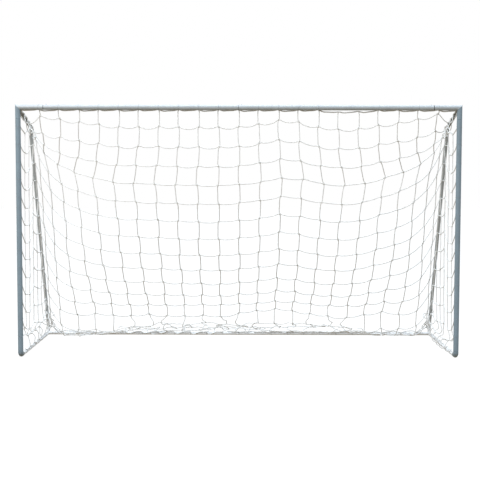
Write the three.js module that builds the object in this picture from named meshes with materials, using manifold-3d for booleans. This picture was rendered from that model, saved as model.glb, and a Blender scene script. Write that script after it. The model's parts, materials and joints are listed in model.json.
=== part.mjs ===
// A portable soccer goal: a push-together frame of round steel tubes with snap buttons, and its net.
// Millimetres. +X runs across the goal mouth, +Y from the mouth towards the back, +Z is up.
// The origin is on the ground under the middle of the whole goal.
import * as THREE from "three";
import { mergeVertices } from "three/addons/utils/BufferGeometryUtils.js";
import Module from "manifold-3d";

const wasm = await Module();
wasm.setup();

// Overall size, and the line of the goal's side, measured back from the plane of the mouth
const GOAL_WIDTH = 3200; // outside of the uprights
const GOAL_HEIGHT = 1825; // ground to the top of the crossbar
const ARM_BEND = { back: 425, height: 1686 }; // where the arm and stay centre lines would cross
const STAY_FOOT = 1085; // how far back the stay's centre line would reach the ground bar's
const BACK_BAR_BACK = 1052; // how far back the back ground bar lies

// The two tube sizes: outside diameter, wall, and number of flats round the tube
const MAIN = { radius: 38 / 2, wall: 1.2, sides: 20, buttonRadius: 4.5 };
const THIN = { radius: 25.4 / 2, wall: 1.0, sides: 16, buttonRadius: 3.5 };

// Joints: a swaged plug slides into the next tube and a sprung button locks it
const FIT = 0.3; // gap between pieces that touch
const PLUG_LENGTH = 60;
const SHOULDER = 2; // wall left behind the seam where the tube steps down to its plug
const PLUG_OVERLAP = 5; // how far a plug's solid reaches into the tube it belongs to
const SEAM = 1; // gap between the tube ends at most joints
const BAR_SEAM = 4; // wider gap where the crossbar meets its corners
const BUTTON_SETBACK = 22; // seam to button
const BUTTON_PROUD = 3.5; // how far a button stands out of the tube
const BUTTON_ROOT = 1.5; // how far a button reaches in past the plug's wall
const BUTTON_SIDES = 10;
const BUTTON_DOME = 2; // height of a button's rounded top
const DOME_STEPS = 3;
const SPRING = { thickness: 0.8, width: 8, behind: 8, ahead: 32, wallGap: 0.5, tip: 2.5 };

// Bends and stubs
const CROSSBAR_STUB = 200; // outside of the corner to the crossbar's seam
const UPRIGHT_STUB = 102; // top of the corner to the upright's seam
const ARM_BEND_RADIUS = 60;
const ARM_TAIL = 28; // straight length between the arm's bend and its seam
const FOOT_SEAM = 47; // ground to the foot's seam
const FOOT_BEND_RADIUS = 26;
const FOOT_REACH = 48; // upright's centre to the flat back of the foot
const REAR_BEND_RADIUS = 30;
const REAR_TAIL = 30; // straight length each side of the rear corner's bend
const REAR_STUB = 60; // rear corner's centre to the back bar's seam
const BEND_STEPS = 5;

// Net, as thin flat plates between the tubes, and the straps round the stays
const NET = {
  thickness: 0.5,
  foldGap: 1, // how far short of the net's fold its two plates stop
  uprightClear: 28, // from a tube's centre line to the edge of the net
  sideBarClear: 30,
  armClear: 18,
  stayClear: 20,
  crossbarClear: 24,
  backBarClear: 18,
  backEdgeClear: 34,
  sagBack: 600, // where the slack net behind the goal bends towards the back bar
  sagHeight: 580,
};
const STRAP = { width: 20, thickness: 1.8, fromBend: 13, tab: 14 };

// Derived places, measured back from the mouth plane and up from the ground
const UPRIGHT_X = GOAL_WIDTH / 2 - MAIN.radius;
const BAR_HEIGHT = GOAL_HEIGHT - MAIN.radius;
const GROUND_BAR = THIN.radius;
const point = (x, y, z) => new THREE.Vector3(x, y, z);
const X_AXIS = point(1, 0, 0);
const Y_AXIS = point(0, 1, 0);
const Z_AXIS = point(0, 0, 1);
const CORNER = point(UPRIGHT_X, 0, BAR_HEIGHT);
const ARM_TURN = point(UPRIGHT_X, ARM_BEND.back, ARM_BEND.height);
const STAY_TURN = point(UPRIGHT_X, STAY_FOOT, GROUND_BAR);
const ARM_LINE = ARM_TURN.clone().sub(CORNER).normalize();
const STAY_LINE = STAY_TURN.clone().sub(ARM_TURN).normalize();

const plugRadius = (tube) => tube.radius - tube.wall - FIT;
const plugBore = (tube) => plugRadius(tube) - tube.wall;
const tangentLength = (before, after, radius) => radius * Math.tan(before.angleTo(after) / 2);
// The radius of a polygon's corners when its flats stand at the radius given
const cornerRadius = (radius, sides) => radius / Math.cos(Math.PI / sides);

const steel = new THREE.MeshStandardMaterial({ color: 0x93a1ad, roughness: 0.4, metalness: 0.6 });
const thinSteel = new THREE.MeshStandardMaterial({ color: 0x8b959b, roughness: 0.42, metalness: 0.6 });
const buttonSteel = new THREE.MeshStandardMaterial({ color: 0xb9bcbf, roughness: 0.3, metalness: 0.9 });
const springSteel = new THREE.MeshStandardMaterial({ color: 0x6f7275, roughness: 0.35, metalness: 0.9 });
const twine = new THREE.MeshStandardMaterial({ color: 0xe9e6e1, roughness: 0.9, metalness: 0 });
const webbing = new THREE.MeshStandardMaterial({ color: 0xf0efec, roughness: 0.9, metalness: 0 });

// three.js geometry to a manifold-3d solid, and back
function solidOf(geometry) {
  const bare = geometry.clone();
  bare.deleteAttribute("normal");
  bare.deleteAttribute("uv");
  const merged = mergeVertices(bare, 1e-3);
  return new wasm.Manifold(
    new wasm.Mesh({
      numProp: 3,
      vertProperties: merged.attributes.position.array,
      triVerts: new Uint32Array(merged.index.array),
    }),
  );
}

function geometryOf(solid) {
  const mesh = solid.getMesh();
  const geometry = new THREE.BufferGeometry();
  geometry.setAttribute("position", new THREE.BufferAttribute(mesh.vertProperties, mesh.numProp));
  geometry.setIndex(new THREE.BufferAttribute(mesh.triVerts, 1));
  geometry.computeVertexNormals();
  return geometry;
}

// The placement that turns +Y to along and +Z to facing
function frameAt(origin, along, facing) {
  const y = along.clone().normalize();
  const x = y.clone().cross(facing).normalize();
  const z = x.clone().cross(y);
  return new THREE.Matrix4().makeBasis(x, y, z).setPosition(origin);
}

// A round bar along +Y from y = from to y = to, with its flats facing the axes
function bar(radius, sides, from, to) {
  const corner = cornerRadius(radius, sides);
  const geometry = new THREE.CylinderGeometry(corner, corner, to - from, sides, 1, false, Math.PI / sides);
  return geometry.translate(0, (from + to) / 2, 0);
}

function placedBar(radius, sides, from, to, frame) {
  return solidOf(bar(radius, sides, from, to).applyMatrix4(frame));
}

// A path through points with a round bend at each inner one; the sections stand where the path says
class BentPath extends THREE.Curve {
  constructor(points, radius) {
    super();
    this.stations = [{ at: points[0], along: points[1].clone().sub(points[0]).normalize() }];
    for (let i = 1; i < points.length - 1; i += 1) {
      this.addBend(points[i - 1], points[i], points[i + 1], radius);
    }
    const last = points.length - 1;
    this.stations.push({ at: points[last], along: points[last].clone().sub(points[last - 1]).normalize() });
  }

  addBend(before, turn, after, radius) {
    const arriving = turn.clone().sub(before).normalize();
    const leaving = after.clone().sub(turn).normalize();
    const angle = arriving.angleTo(leaving);
    const start = turn.clone().addScaledVector(arriving, -tangentLength(arriving, leaving, radius));
    const inward = leaving.clone().addScaledVector(arriving, -leaving.dot(arriving)).normalize();
    for (let i = 0; i <= BEND_STEPS; i += 1) {
      const turned = (angle * i) / BEND_STEPS;
      const at = start.clone().addScaledVector(arriving, radius * Math.sin(turned));
      at.addScaledVector(inward, radius * (1 - Math.cos(turned)));
      const along = arriving.clone().multiplyScalar(Math.cos(turned));
      this.stations.push({ at, along: along.addScaledVector(inward, Math.sin(turned)) });
    }
  }

  station(u) {
    return this.stations[Math.round(u * (this.stations.length - 1))];
  }

  getPointAt(u) {
    return this.station(u).at.clone();
  }

  getTangentAt(u) {
    return this.station(u).along.clone();
  }
}

// A round bar along a bent path
function bentBar(points, bendRadius, radius, sides) {
  const path = new BentPath(points, bendRadius);
  const corner = cornerRadius(radius, sides);
  const section = new THREE.Shape(
    Array.from({ length: sides }, (_, i) => {
      const angle = ((2 * i + 1) * Math.PI) / sides;
      return new THREE.Vector2(corner * Math.cos(angle), corner * Math.sin(angle));
    }),
  );
  const steps = path.stations.length - 1;
  return solidOf(new THREE.ExtrudeGeometry(section, { steps, extrudePath: path, curveSegments: 1 }));
}

// A joint: its frame stands at the seam, with the plug along +Y and the button facing +Z
const plugJoint = (name, tube, seam, along, facing) => ({ name, tube, frame: frameAt(seam, along, facing) });

// What a button's hole takes from a tube or plug whose joint has this frame
function buttonHole(tube, frame) {
  const hole = new THREE.CylinderGeometry(
    tube.buttonRadius + FIT,
    tube.buttonRadius + FIT,
    tube.radius * 2,
    BUTTON_SIDES,
  );
  hole.rotateX(Math.PI / 2).translate(0, BUTTON_SETBACK, tube.radius);
  return solidOf(hole.applyMatrix4(frame));
}

// A piece with plugs: its outer solids joined, less its bores and the plugs' bores and button holes
function pluggedPiece(outers, bores, plugs) {
  let outer = wasm.Manifold.union(outers);
  for (const { tube, frame } of plugs) {
    outer = outer.add(placedBar(plugRadius(tube), tube.sides, -PLUG_OVERLAP, PLUG_LENGTH, frame));
  }
  outer = outer.subtract(wasm.Manifold.union(bores));
  for (const { tube, frame } of plugs) {
    const reach = PLUG_OVERLAP * 2;
    outer = outer.subtract(placedBar(plugBore(tube), tube.sides, -reach, PLUG_LENGTH + reach, frame));
    outer = outer.subtract(buttonHole(tube, frame));
  }
  return geometryOf(outer);
}

// Where a tube's full bore stops, short of the seam, so that its wall carries the plug
const shortOf = (end, along) => end.clone().addScaledVector(along, -SHOULDER);

// A cylinder along +Y that ends at the origin in a 45 degree cut
function mitredBar(radius, sides, length) {
  const geometry = bar(radius, sides, -length, 0);
  const position = geometry.attributes.position;
  for (let i = 0; i < position.count; i += 1) {
    if (position.getY(i) === 0) position.setY(i, position.getZ(i));
  }
  return geometry;
}

// The mitred corner of two bars of one size, one running to -X and one to -Z from the corner
function mitredCorner(radius, crossLength, downLength) {
  const cross = mitredBar(radius, MAIN.sides, crossLength);
  cross.applyMatrix4(new THREE.Matrix4().makeBasis(point(0, -1, 0), X_AXIS, Z_AXIS).setPosition(CORNER));
  const down = mitredBar(radius, MAIN.sides, downLength);
  down.applyMatrix4(new THREE.Matrix4().makeBasis(Y_AXIS, Z_AXIS, X_AXIS).setPosition(CORNER));
  return solidOf(cross).add(solidOf(down));
}

// Where each right-hand joint is. The left-hand ones mirror them.
const armBendLength = tangentLength(ARM_LINE, STAY_LINE, ARM_BEND_RADIUS);
const SIDE_LINE = Y_AXIS;
const UP_STAY = STAY_LINE.clone().negate();
const rearBendLength = tangentLength(SIDE_LINE, UP_STAY, REAR_BEND_RADIUS);
const seams = {
  crossbar: point(GOAL_WIDTH / 2 - CROSSBAR_STUB, 0, BAR_HEIGHT),
  uprightTop: point(UPRIGHT_X, 0, GOAL_HEIGHT - UPRIGHT_STUB),
  uprightBottom: point(UPRIGHT_X, 0, FOOT_SEAM),
  arm: ARM_TURN.clone().addScaledVector(STAY_LINE, armBendLength + ARM_TAIL),
  sideFront: point(UPRIGHT_X, FOOT_REACH, GROUND_BAR),
  sideRear: STAY_TURN.clone().addScaledVector(SIDE_LINE, -rearBendLength - REAR_TAIL),
  stayFoot: STAY_TURN.clone().addScaledVector(UP_STAY, rearBendLength + REAR_TAIL),
  backBar: point(UPRIGHT_X - REAR_STUB, BACK_BAR_BACK, GROUND_BAR),
};
const INWARD = point(-1, 0, 0);
const DOWN = point(0, 0, -1);
const FORWARD = point(0, -1, 0);
const right = {
  crossbar: plugJoint("crossbar", MAIN, seams.crossbar, INWARD, Z_AXIS),
  uprightTop: plugJoint("upright_top", MAIN, seams.uprightTop, DOWN, Y_AXIS),
  uprightBottom: plugJoint("upright_bottom", MAIN, seams.uprightBottom, Z_AXIS, Y_AXIS),
  arm: plugJoint("stay_top", THIN, seams.arm, STAY_LINE, X_AXIS),
  sideFront: plugJoint("side_bar_front", THIN, seams.sideFront, SIDE_LINE, X_AXIS),
  sideRear: plugJoint("side_bar_rear", THIN, seams.sideRear, FORWARD, X_AXIS),
  stayFoot: plugJoint("stay_bottom", THIN, seams.stayFoot, UP_STAY, X_AXIS),
  backBar: plugJoint("back_bar", THIN, seams.backBar, INWARD, Z_AXIS),
};

function topCorner() {
  const arm = [CORNER, ARM_TURN, seams.arm];
  const armBore = [CORNER, ARM_TURN, shortOf(seams.arm, STAY_LINE)];
  const crossLength = UPRIGHT_X - seams.crossbar.x;
  const downLength = BAR_HEIGHT - seams.uprightTop.z;
  const outers = [
    mitredCorner(MAIN.radius, crossLength, downLength),
    bentBar(arm, ARM_BEND_RADIUS, THIN.radius, THIN.sides),
  ];
  const bores = [
    mitredCorner(MAIN.radius - MAIN.wall, crossLength - SHOULDER, downLength - SHOULDER),
    bentBar(armBore, ARM_BEND_RADIUS, THIN.radius - THIN.wall, THIN.sides),
  ];
  return pluggedPiece(outers, bores, [right.crossbar, right.uprightTop, right.arm]);
}

function foot() {
  const heel = point(UPRIGHT_X, 0, MAIN.radius);
  const toe = point(UPRIGHT_X, FOOT_REACH, MAIN.radius);
  const shell = bentBar([seams.uprightBottom, heel, toe], FOOT_BEND_RADIUS, MAIN.radius, MAIN.sides);
  const boreTop = point(UPRIGHT_X, 0, FOOT_SEAM - SHOULDER);
  const boreToe = point(UPRIGHT_X, FOOT_REACH - SHOULDER, MAIN.radius);
  const boreRadius = MAIN.radius - MAIN.wall;
  const bore = bentBar([boreTop, heel, boreToe], FOOT_BEND_RADIUS, boreRadius, MAIN.sides);
  return pluggedPiece([shell], [bore], [right.uprightBottom, right.sideFront]);
}

function rearCorner() {
  const bend = bentBar([seams.sideRear, STAY_TURN, seams.stayFoot], REAR_BEND_RADIUS, THIN.radius, THIN.sides);
  const bore = bentBar(
    [shortOf(seams.sideRear, FORWARD), STAY_TURN, shortOf(seams.stayFoot, UP_STAY)],
    REAR_BEND_RADIUS,
    THIN.radius - THIN.wall,
    THIN.sides,
  );
  const stubFrame = frameAt(seams.backBar, INWARD, Z_AXIS);
  const stub = placedBar(THIN.radius, THIN.sides, -REAR_STUB, 0, stubFrame);
  const stubBore = placedBar(THIN.radius - THIN.wall, THIN.sides, -REAR_STUB, -SHOULDER, stubFrame);
  return pluggedPiece([bend, stub], [bore, stubBore], [right.sideRear, right.stayFoot, right.backBar]);
}

// A straight tube in its own frame: along +Y, buttons facing +Z. It takes its neighbours' plugs at its
// near end, and at its far end too unless it has a plug of its own there. The gaps are those at its seams.
function straightTube(tube, length, nearGap, farGap, plugged) {
  const outer = cornerRadius(tube.radius, tube.sides);
  const bore = cornerRadius(tube.radius - tube.wall, tube.sides);
  const profile = [new THREE.Vector2(bore, 0), new THREE.Vector2(outer, 0), new THREE.Vector2(outer, length)];
  if (plugged) {
    const plug = cornerRadius(plugRadius(tube), tube.sides);
    const inside = cornerRadius(plugBore(tube), tube.sides);
    profile.push(
      new THREE.Vector2(plug, length),
      new THREE.Vector2(plug, length + PLUG_LENGTH),
      new THREE.Vector2(inside, length + PLUG_LENGTH),
      new THREE.Vector2(inside, length - SHOULDER),
      new THREE.Vector2(bore, length - SHOULDER),
    );
  } else {
    profile.push(new THREE.Vector2(bore, length));
  }
  profile.push(profile[0].clone());
  const near = frameAt(point(0, -nearGap, 0), Y_AXIS, Z_AXIS);
  const ownPlug = frameAt(point(0, length, 0), Y_AXIS, Z_AXIS);
  const far = frameAt(point(0, length + farGap, 0), point(0, -1, 0), Z_AXIS);
  return geometryOf(
    solidOf(new THREE.LatheGeometry(profile, tube.sides, Math.PI / tube.sides))
      .subtract(buttonHole(tube, near))
      .subtract(buttonHole(tube, plugged ? ownPlug : far)),
  );
}

// A button in its joint's frame: a pin with a domed top
function button(tube) {
  const root = plugBore(tube) - BUTTON_ROOT;
  const shoulder = tube.radius + BUTTON_PROUD - BUTTON_DOME;
  const profile = [new THREE.Vector2(0, root), new THREE.Vector2(tube.buttonRadius, root)];
  for (let i = 0; i < DOME_STEPS; i += 1) {
    const angle = (Math.PI / 2) * (i / DOME_STEPS);
    const across = tube.buttonRadius * Math.cos(angle);
    profile.push(new THREE.Vector2(across, shoulder + BUTTON_DOME * Math.sin(angle)));
  }
  profile.push(new THREE.Vector2(0, shoulder + BUTTON_DOME));
  return new THREE.LatheGeometry(profile, BUTTON_SIDES).rotateX(Math.PI / 2).translate(0, BUTTON_SETBACK, 0);
}

// The V-shaped leaf spring behind a button, in the joint's frame, its closed end towards the plug's mouth
function leafSpring(tube) {
  const { thickness, width, behind, ahead, wallGap, tip } = SPRING;
  const top = plugBore(tube) - BUTTON_ROOT - FIT;
  const bottom = wallGap - Math.sqrt(plugBore(tube) ** 2 - (width / 2) ** 2);
  const open = BUTTON_SETBACK - behind;
  const closed = BUTTON_SETBACK + ahead;
  const shape = new THREE.Shape();
  shape.moveTo(open, top);
  shape.lineTo(open, top - thickness);
  shape.lineTo(closed, tip - thickness);
  shape.lineTo(closed, thickness - tip);
  shape.lineTo(open, bottom + thickness);
  shape.lineTo(open, bottom);
  shape.lineTo(closed, -tip);
  shape.quadraticCurveTo(closed + tip, 0, closed, tip);
  shape.closePath();
  const blade = new THREE.ExtrudeGeometry(shape, { depth: width, bevelEnabled: false, curveSegments: 4 });
  blade.translate(0, 0, -width / 2);
  return blade.applyMatrix4(new THREE.Matrix4().makeBasis(Y_AXIS, Z_AXIS, X_AXIS));
}

// A strap in the frame of the stay: a band round the tube, its two ends pressed together into a tab
function strap() {
  const inner = THIN.radius + FIT;
  const outer = inner + STRAP.thickness;
  const half = STRAP.width / 2;
  const profile = [
    new THREE.Vector2(cornerRadius(inner, THIN.sides), -half),
    new THREE.Vector2(cornerRadius(outer, THIN.sides), -half),
    new THREE.Vector2(cornerRadius(outer, THIN.sides), half),
    new THREE.Vector2(cornerRadius(inner, THIN.sides), half),
  ];
  profile.push(profile[0].clone());
  const band = new THREE.LatheGeometry(profile, THIN.sides, Math.PI / THIN.sides);
  const tab = new THREE.BoxGeometry(STRAP.thickness * 2, STRAP.width, STRAP.tab);
  tab.translate(0, 0, -(inner + STRAP.thickness / 2 + STRAP.tab / 2));
  return geometryOf(solidOf(band).add(solidOf(tab)));
}

// A closed outline, counterclockwise, drawn in from its edges by the clearances given
function drawnIn(outline, clear) {
  const edges = outline.map((start, i) => {
    const along = outline[(i + 1) % outline.length].clone().sub(start).normalize();
    const inward = new THREE.Vector2(-along.y, along.x);
    return { start: start.clone().addScaledVector(inward, clear[i]), along };
  });
  return edges.map((edge, i) => {
    const before = edges[(i + edges.length - 1) % edges.length];
    const between = edge.start.clone().sub(before.start);
    const reach = between.cross(edge.along) / before.along.cross(edge.along);
    return before.start.clone().addScaledVector(before.along, reach);
  });
}

// A thin plate between corners that lie in one plane, each of its edges drawn in by its clearance
function flatPlate(corners, clear) {
  const along = corners[1].clone().sub(corners[0]).normalize();
  const normal = along.clone().cross(corners[2].clone().sub(corners[0])).normalize();
  const place = new THREE.Matrix4().makeBasis(along, normal.clone().cross(along), normal);
  place.setPosition(corners[0]);
  const toPlane = place.clone().invert();
  const outline = corners.map((corner) => {
    const { x, y } = corner.clone().applyMatrix4(toPlane);
    return new THREE.Vector2(x, y);
  });
  const shape = new THREE.Shape(drawnIn(outline, clear));
  const plate = new THREE.ExtrudeGeometry(shape, { depth: NET.thickness, bevelEnabled: false });
  plate.translate(0, 0, -NET.thickness / 2);
  return plate.applyMatrix4(place);
}

// The net between an upright and its stay
function sideNet() {
  const corners = [
    point(UPRIGHT_X, 0, GROUND_BAR),
    point(UPRIGHT_X, STAY_FOOT, GROUND_BAR),
    ARM_TURN,
    CORNER,
  ];
  return flatPlate(corners, [NET.sideBarClear, NET.stayClear, NET.armClear, NET.uprightClear]);
}

// A plate of the net behind the goal, from one line across the goal to a lower one
function backNet(upper, upperClear, lower, lowerClear) {
  const corners = [upper, lower].flatMap(({ back, height }, row) =>
    [-UPRIGHT_X, UPRIGHT_X].map((x) => point(row === 0 ? x : -x, back, height)),
  );
  return flatPlate(corners, [upperClear, NET.backEdgeClear, lowerClear, NET.backEdgeClear]);
}

const frontToRear = STAY_FOOT - rearBendLength + REAR_BEND_RADIUS + THIN.radius + MAIN.radius;
const frame = new THREE.Group();
frame.position.y = MAIN.radius - frontToRear / 2;

function addMesh(parent, name, geometry, material) {
  const mesh = new THREE.Mesh(geometry, material);
  mesh.name = name;
  parent.add(mesh);
  return mesh;
}

function addPlaced(parent, name, geometry, material, place) {
  const mesh = addMesh(parent, name, geometry, material);
  mesh.position.setFromMatrixPosition(place);
  mesh.quaternion.setFromRotationMatrix(place);
}

// A straight tube between two seams, less the gaps at them
function addTube(parent, name, tube, from, to, facing, gaps, plugged) {
  const along = to.clone().sub(from).normalize();
  const length = from.distanceTo(to) - gaps[0] - gaps[1];
  const geometry = straightTube(tube, length, gaps[0], gaps[1], plugged);
  const start = from.clone().addScaledVector(along, gaps[0]);
  addPlaced(parent, name, geometry, tube === MAIN ? steel : thinSteel, frameAt(start, along, facing));
}

// A tube from the side of the goal to the middle, where the one with the plug ends at the seam
function addHalfBar(parent, name, tube, from, gap, plugged) {
  const seam = point(plugged ? SEAM / 2 : -SEAM / 2, from.y, from.z);
  addTube(parent, name, tube, from, seam, Z_AXIS, [gap, plugged ? 0 : SEAM], plugged);
}

function addButton(parent, name, joint) {
  addPlaced(parent, `snap_button_${name}`, button(joint.tube), buttonSteel, joint.frame);
  addPlaced(parent, `button_spring_${name}`, leafSpring(joint.tube), springSteel, joint.frame);
}

// One half of the goal. The left half is the mirror image of the right, but for the plugs in the middle.
function addHalf(side, mirror) {
  const half = new THREE.Group();
  half.scale.x = mirror;
  frame.add(half);
  const isLeft = mirror < 0;
  addMesh(half, `top_corner_${side}`, topCorner(), steel);
  addMesh(half, `foot_${side}`, foot(), steel);
  addMesh(half, `rear_corner_${side}`, rearCorner(), thinSteel);
  addHalfBar(half, `crossbar_${side}`, MAIN, seams.crossbar, BAR_SEAM, isLeft);
  addHalfBar(half, `back_bar_${side}`, THIN, seams.backBar, SEAM, isLeft);
  addTube(half, `upright_${side}`, MAIN, seams.uprightBottom, seams.uprightTop, Y_AXIS, [SEAM, SEAM], false);
  addTube(half, `side_bar_${side}`, THIN, seams.sideFront, seams.sideRear, X_AXIS, [SEAM, SEAM], false);
  addTube(half, `stay_${side}`, THIN, seams.arm, seams.stayFoot, X_AXIS, [SEAM, SEAM], false);
  for (const joint of Object.values(right)) addButton(half, `${joint.name}_${side}`, joint);

  const highStrap = ARM_TURN.clone().addScaledVector(STAY_LINE, armBendLength + STRAP.fromBend);
  const lowStrap = STAY_TURN.clone().addScaledVector(UP_STAY, rearBendLength + STRAP.fromBend);
  addPlaced(half, `net_strap_high_${side}`, strap(), webbing, frameAt(highStrap, STAY_LINE, X_AXIS));
  addPlaced(half, `net_strap_low_${side}`, strap(), webbing, frameAt(lowStrap, STAY_LINE, X_AXIS));
  addMesh(half, `net_side_${side}`, sideNet(), twine);
}

// The button of a seam in the middle of a bar
function addMiddleButton(name, tube, height, back) {
  const seam = point(-SEAM / 2, back, height);
  addButton(frame, name, { tube, frame: frameAt(seam, X_AXIS, Z_AXIS) });
}

addHalf("left", -1);
addHalf("right", 1);
addMiddleButton("crossbar_middle", MAIN, BAR_HEIGHT, 0);
addMiddleButton("back_bar_middle", THIN, GROUND_BAR, BACK_BAR_BACK);

const crossbarLine = { back: 0, height: BAR_HEIGHT };
const sagLine = { back: NET.sagBack, height: NET.sagHeight };
const backBarLine = { back: BACK_BAR_BACK, height: GROUND_BAR };
const upperNet = backNet(crossbarLine, NET.crossbarClear, sagLine, NET.foldGap);
const lowerNet = backNet(sagLine, NET.foldGap, backBarLine, NET.backBarClear);
addMesh(frame, "net_back_upper", upperNet, twine);
addMesh(frame, "net_back_lower", lowerNet, twine);

const goal = new THREE.Group();
goal.add(frame);

export default goal;
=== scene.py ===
import heapq
import json
import math

import bmesh
import bpy
import numpy as np
from mathutils import Matrix, Vector

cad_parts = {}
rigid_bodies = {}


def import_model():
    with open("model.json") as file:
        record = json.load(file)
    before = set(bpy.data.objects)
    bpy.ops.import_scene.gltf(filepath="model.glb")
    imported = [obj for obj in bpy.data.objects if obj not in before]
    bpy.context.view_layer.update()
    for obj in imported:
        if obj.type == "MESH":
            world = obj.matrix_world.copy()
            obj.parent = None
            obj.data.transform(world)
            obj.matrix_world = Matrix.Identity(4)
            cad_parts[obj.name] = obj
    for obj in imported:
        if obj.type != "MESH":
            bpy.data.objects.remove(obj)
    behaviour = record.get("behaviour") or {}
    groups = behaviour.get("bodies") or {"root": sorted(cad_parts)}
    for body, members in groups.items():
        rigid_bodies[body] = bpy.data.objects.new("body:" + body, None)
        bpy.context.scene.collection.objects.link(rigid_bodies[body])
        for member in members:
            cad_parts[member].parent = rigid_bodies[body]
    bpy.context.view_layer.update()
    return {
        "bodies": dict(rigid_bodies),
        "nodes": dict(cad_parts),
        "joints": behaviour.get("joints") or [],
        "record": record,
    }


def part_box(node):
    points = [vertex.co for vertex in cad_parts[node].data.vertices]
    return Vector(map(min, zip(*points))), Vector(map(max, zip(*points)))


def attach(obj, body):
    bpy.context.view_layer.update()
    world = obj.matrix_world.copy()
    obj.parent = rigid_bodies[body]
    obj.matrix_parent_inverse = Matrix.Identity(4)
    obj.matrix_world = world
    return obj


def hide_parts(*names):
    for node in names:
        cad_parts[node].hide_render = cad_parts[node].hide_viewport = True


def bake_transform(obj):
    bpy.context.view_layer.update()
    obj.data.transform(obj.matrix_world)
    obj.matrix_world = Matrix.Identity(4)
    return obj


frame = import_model()

# ---------------------------------------------------------------- places and sizes, in metres
SIDES = {"left": -1.0, "right": 1.0}
LIFT = np.array([0.0, 0.0, 1.0])
BACKWARD = np.array([0.0, 1.0, 0.0])
ACROSS = np.array([1.0, 0.0, 0.0])


def middle(node):
    """The middle of a CAD node's box."""
    low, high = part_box(node)
    return np.array((low + high) / 2)


def extent(node):
    low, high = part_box(node)
    return np.array(high - low)


UPRIGHT_X, MOUTH_Y = middle("upright_right")[:2]
BAR_Z = middle("crossbar_right")[2]
GROUND_Z = middle("side_bar_right")[2]
BACK_Y = middle("back_bar_right")[1]
MAIN_RADIUS = extent("upright_right")[0] / 2
THIN_RADIUS = extent("side_bar_right")[2] / 2

FIT = 0.0003  # gap between a plug and the tube round it
SEAM = 0.001
BAR_SEAM = 0.004
PLUG_LENGTH = 0.060
SHOULDER = 0.002
BUTTON_SETBACK = 0.022
EDGE = 0.0006  # rounding of a tube's ends
SMOOTH_ANGLE = math.radians(35)
THIN_TUBES = ("rear_corner", "side_bar", "stay", "back_bar")
WALL = {MAIN_RADIUS: 0.0012, THIN_RADIUS: 0.0010}
TUBE_SIDES = {MAIN_RADIUS: 64, THIN_RADIUS: 48}
ELBOW_BACK = 0.425
ARM_BEND_RADIUS = 0.060
REAR_BEND_RADIUS = 0.030
FOOT_BEND_RADIUS = 0.026
BEND_STEP = math.radians(6)
LONG_STEP = 0.12  # longest stretch of tube between two rings
MITRE_CLEAR = MAIN_RADIUS * 1.05  # from a mitre's corner back along each of its tubes
HUB_RADIUS = MAIN_RADIUS / 8  # of the hole left in the foot's closed end
BEAD_SIDES = 10
# each weld bead: points round it, its radius, and its ripples' share of that and their number
MITRE_BEAD = (180, 0.0011, 0.12, 70)
ARM_BEAD = (140, 0.0019, 0.16, 46)
STUB_BEAD = (120, 0.0016, 0.15, 40)

# the stay's line, through its two buttons
stay_high = middle("snap_button_stay_top_right") * [0, 1, 1] + [UPRIGHT_X, 0, 0]
stay_low = middle("snap_button_stay_bottom_right") * [0, 1, 1] + [UPRIGHT_X, 0, 0]
STAY_LINE = (stay_low - stay_high) / np.linalg.norm(stay_low - stay_high)
CORNER = np.array([UPRIGHT_X, MOUTH_Y, BAR_Z])


def on_stay(height=None, back=None):
    """The point of the stay's line at a height or at a distance behind the mouth."""
    if height is not None:
        reach = (height - stay_high[2]) / STAY_LINE[2]
    else:
        reach = (MOUTH_Y + back - stay_high[1]) / STAY_LINE[1]
    return stay_high + reach * STAY_LINE


ELBOW = on_stay(back=ELBOW_BACK)
STAY_FOOT = on_stay(height=GROUND_Z)
ARM_LINE = (ELBOW - CORNER) / np.linalg.norm(ELBOW - CORNER)
STAY_TOP_SEAM = stay_high - BUTTON_SETBACK * STAY_LINE
STAY_FOOT_SEAM = stay_low + BUTTON_SETBACK * STAY_LINE


# ---------------------------------------------------------------- mesh helpers
def unit(v):
    return v / np.linalg.norm(v)


def flipped(place, side):
    """A place on the right-hand side, moved to the side given."""
    return place * np.array([side, 1, 1])


def put(name, data):
    """A new object in the scene."""
    obj = bpy.data.objects.new(name, data)
    bpy.context.scene.collection.objects.link(obj)
    return obj


def shaded(mesh):
    """Smooth, but for the edges that are sharper than SMOOTH_ANGLE."""
    mesh.shade_smooth()
    mesh.set_sharp_from_angle(angle=SMOOTH_ANGLE)
    return mesh


def set_uvs(mesh, uvs):
    mesh.uv_layers.new(name="UVMap").data.foreach_set("uv", np.asarray(uvs, np.float32).ravel())


def hand_over(obj, slot, *nodes):
    """The piece stands for these CAD nodes on the fixed frame."""
    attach(obj, "root")
    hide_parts(*nodes)


def circle(centre, radius, first, second, sides):
    angles = 2 * math.pi * np.arange(sides) / sides
    return centre + radius * (np.outer(np.cos(angles), first) + np.outer(np.sin(angles), second))


def along(path):
    """The heading at each station of a path."""
    heading = np.gradient(path, axis=0)
    return heading / np.maximum(np.linalg.norm(heading, axis=1), 1e-9)[:, None]


def arc_lengths(path):
    return np.concatenate([[0], np.cumsum(np.linalg.norm(np.diff(path, axis=0), axis=1))])


def quads(count, sides, closed=False):
    """The faces between rings of points, and from the last to the first if closed."""
    faces = []
    for k in range(count if closed else count - 1):
        near, far = k * sides, (k + 1) % count * sides
        faces += [(near + i, near + (i + 1) % sides, far + (i + 1) % sides, far + i) for i in range(sides)]
    return faces


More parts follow.
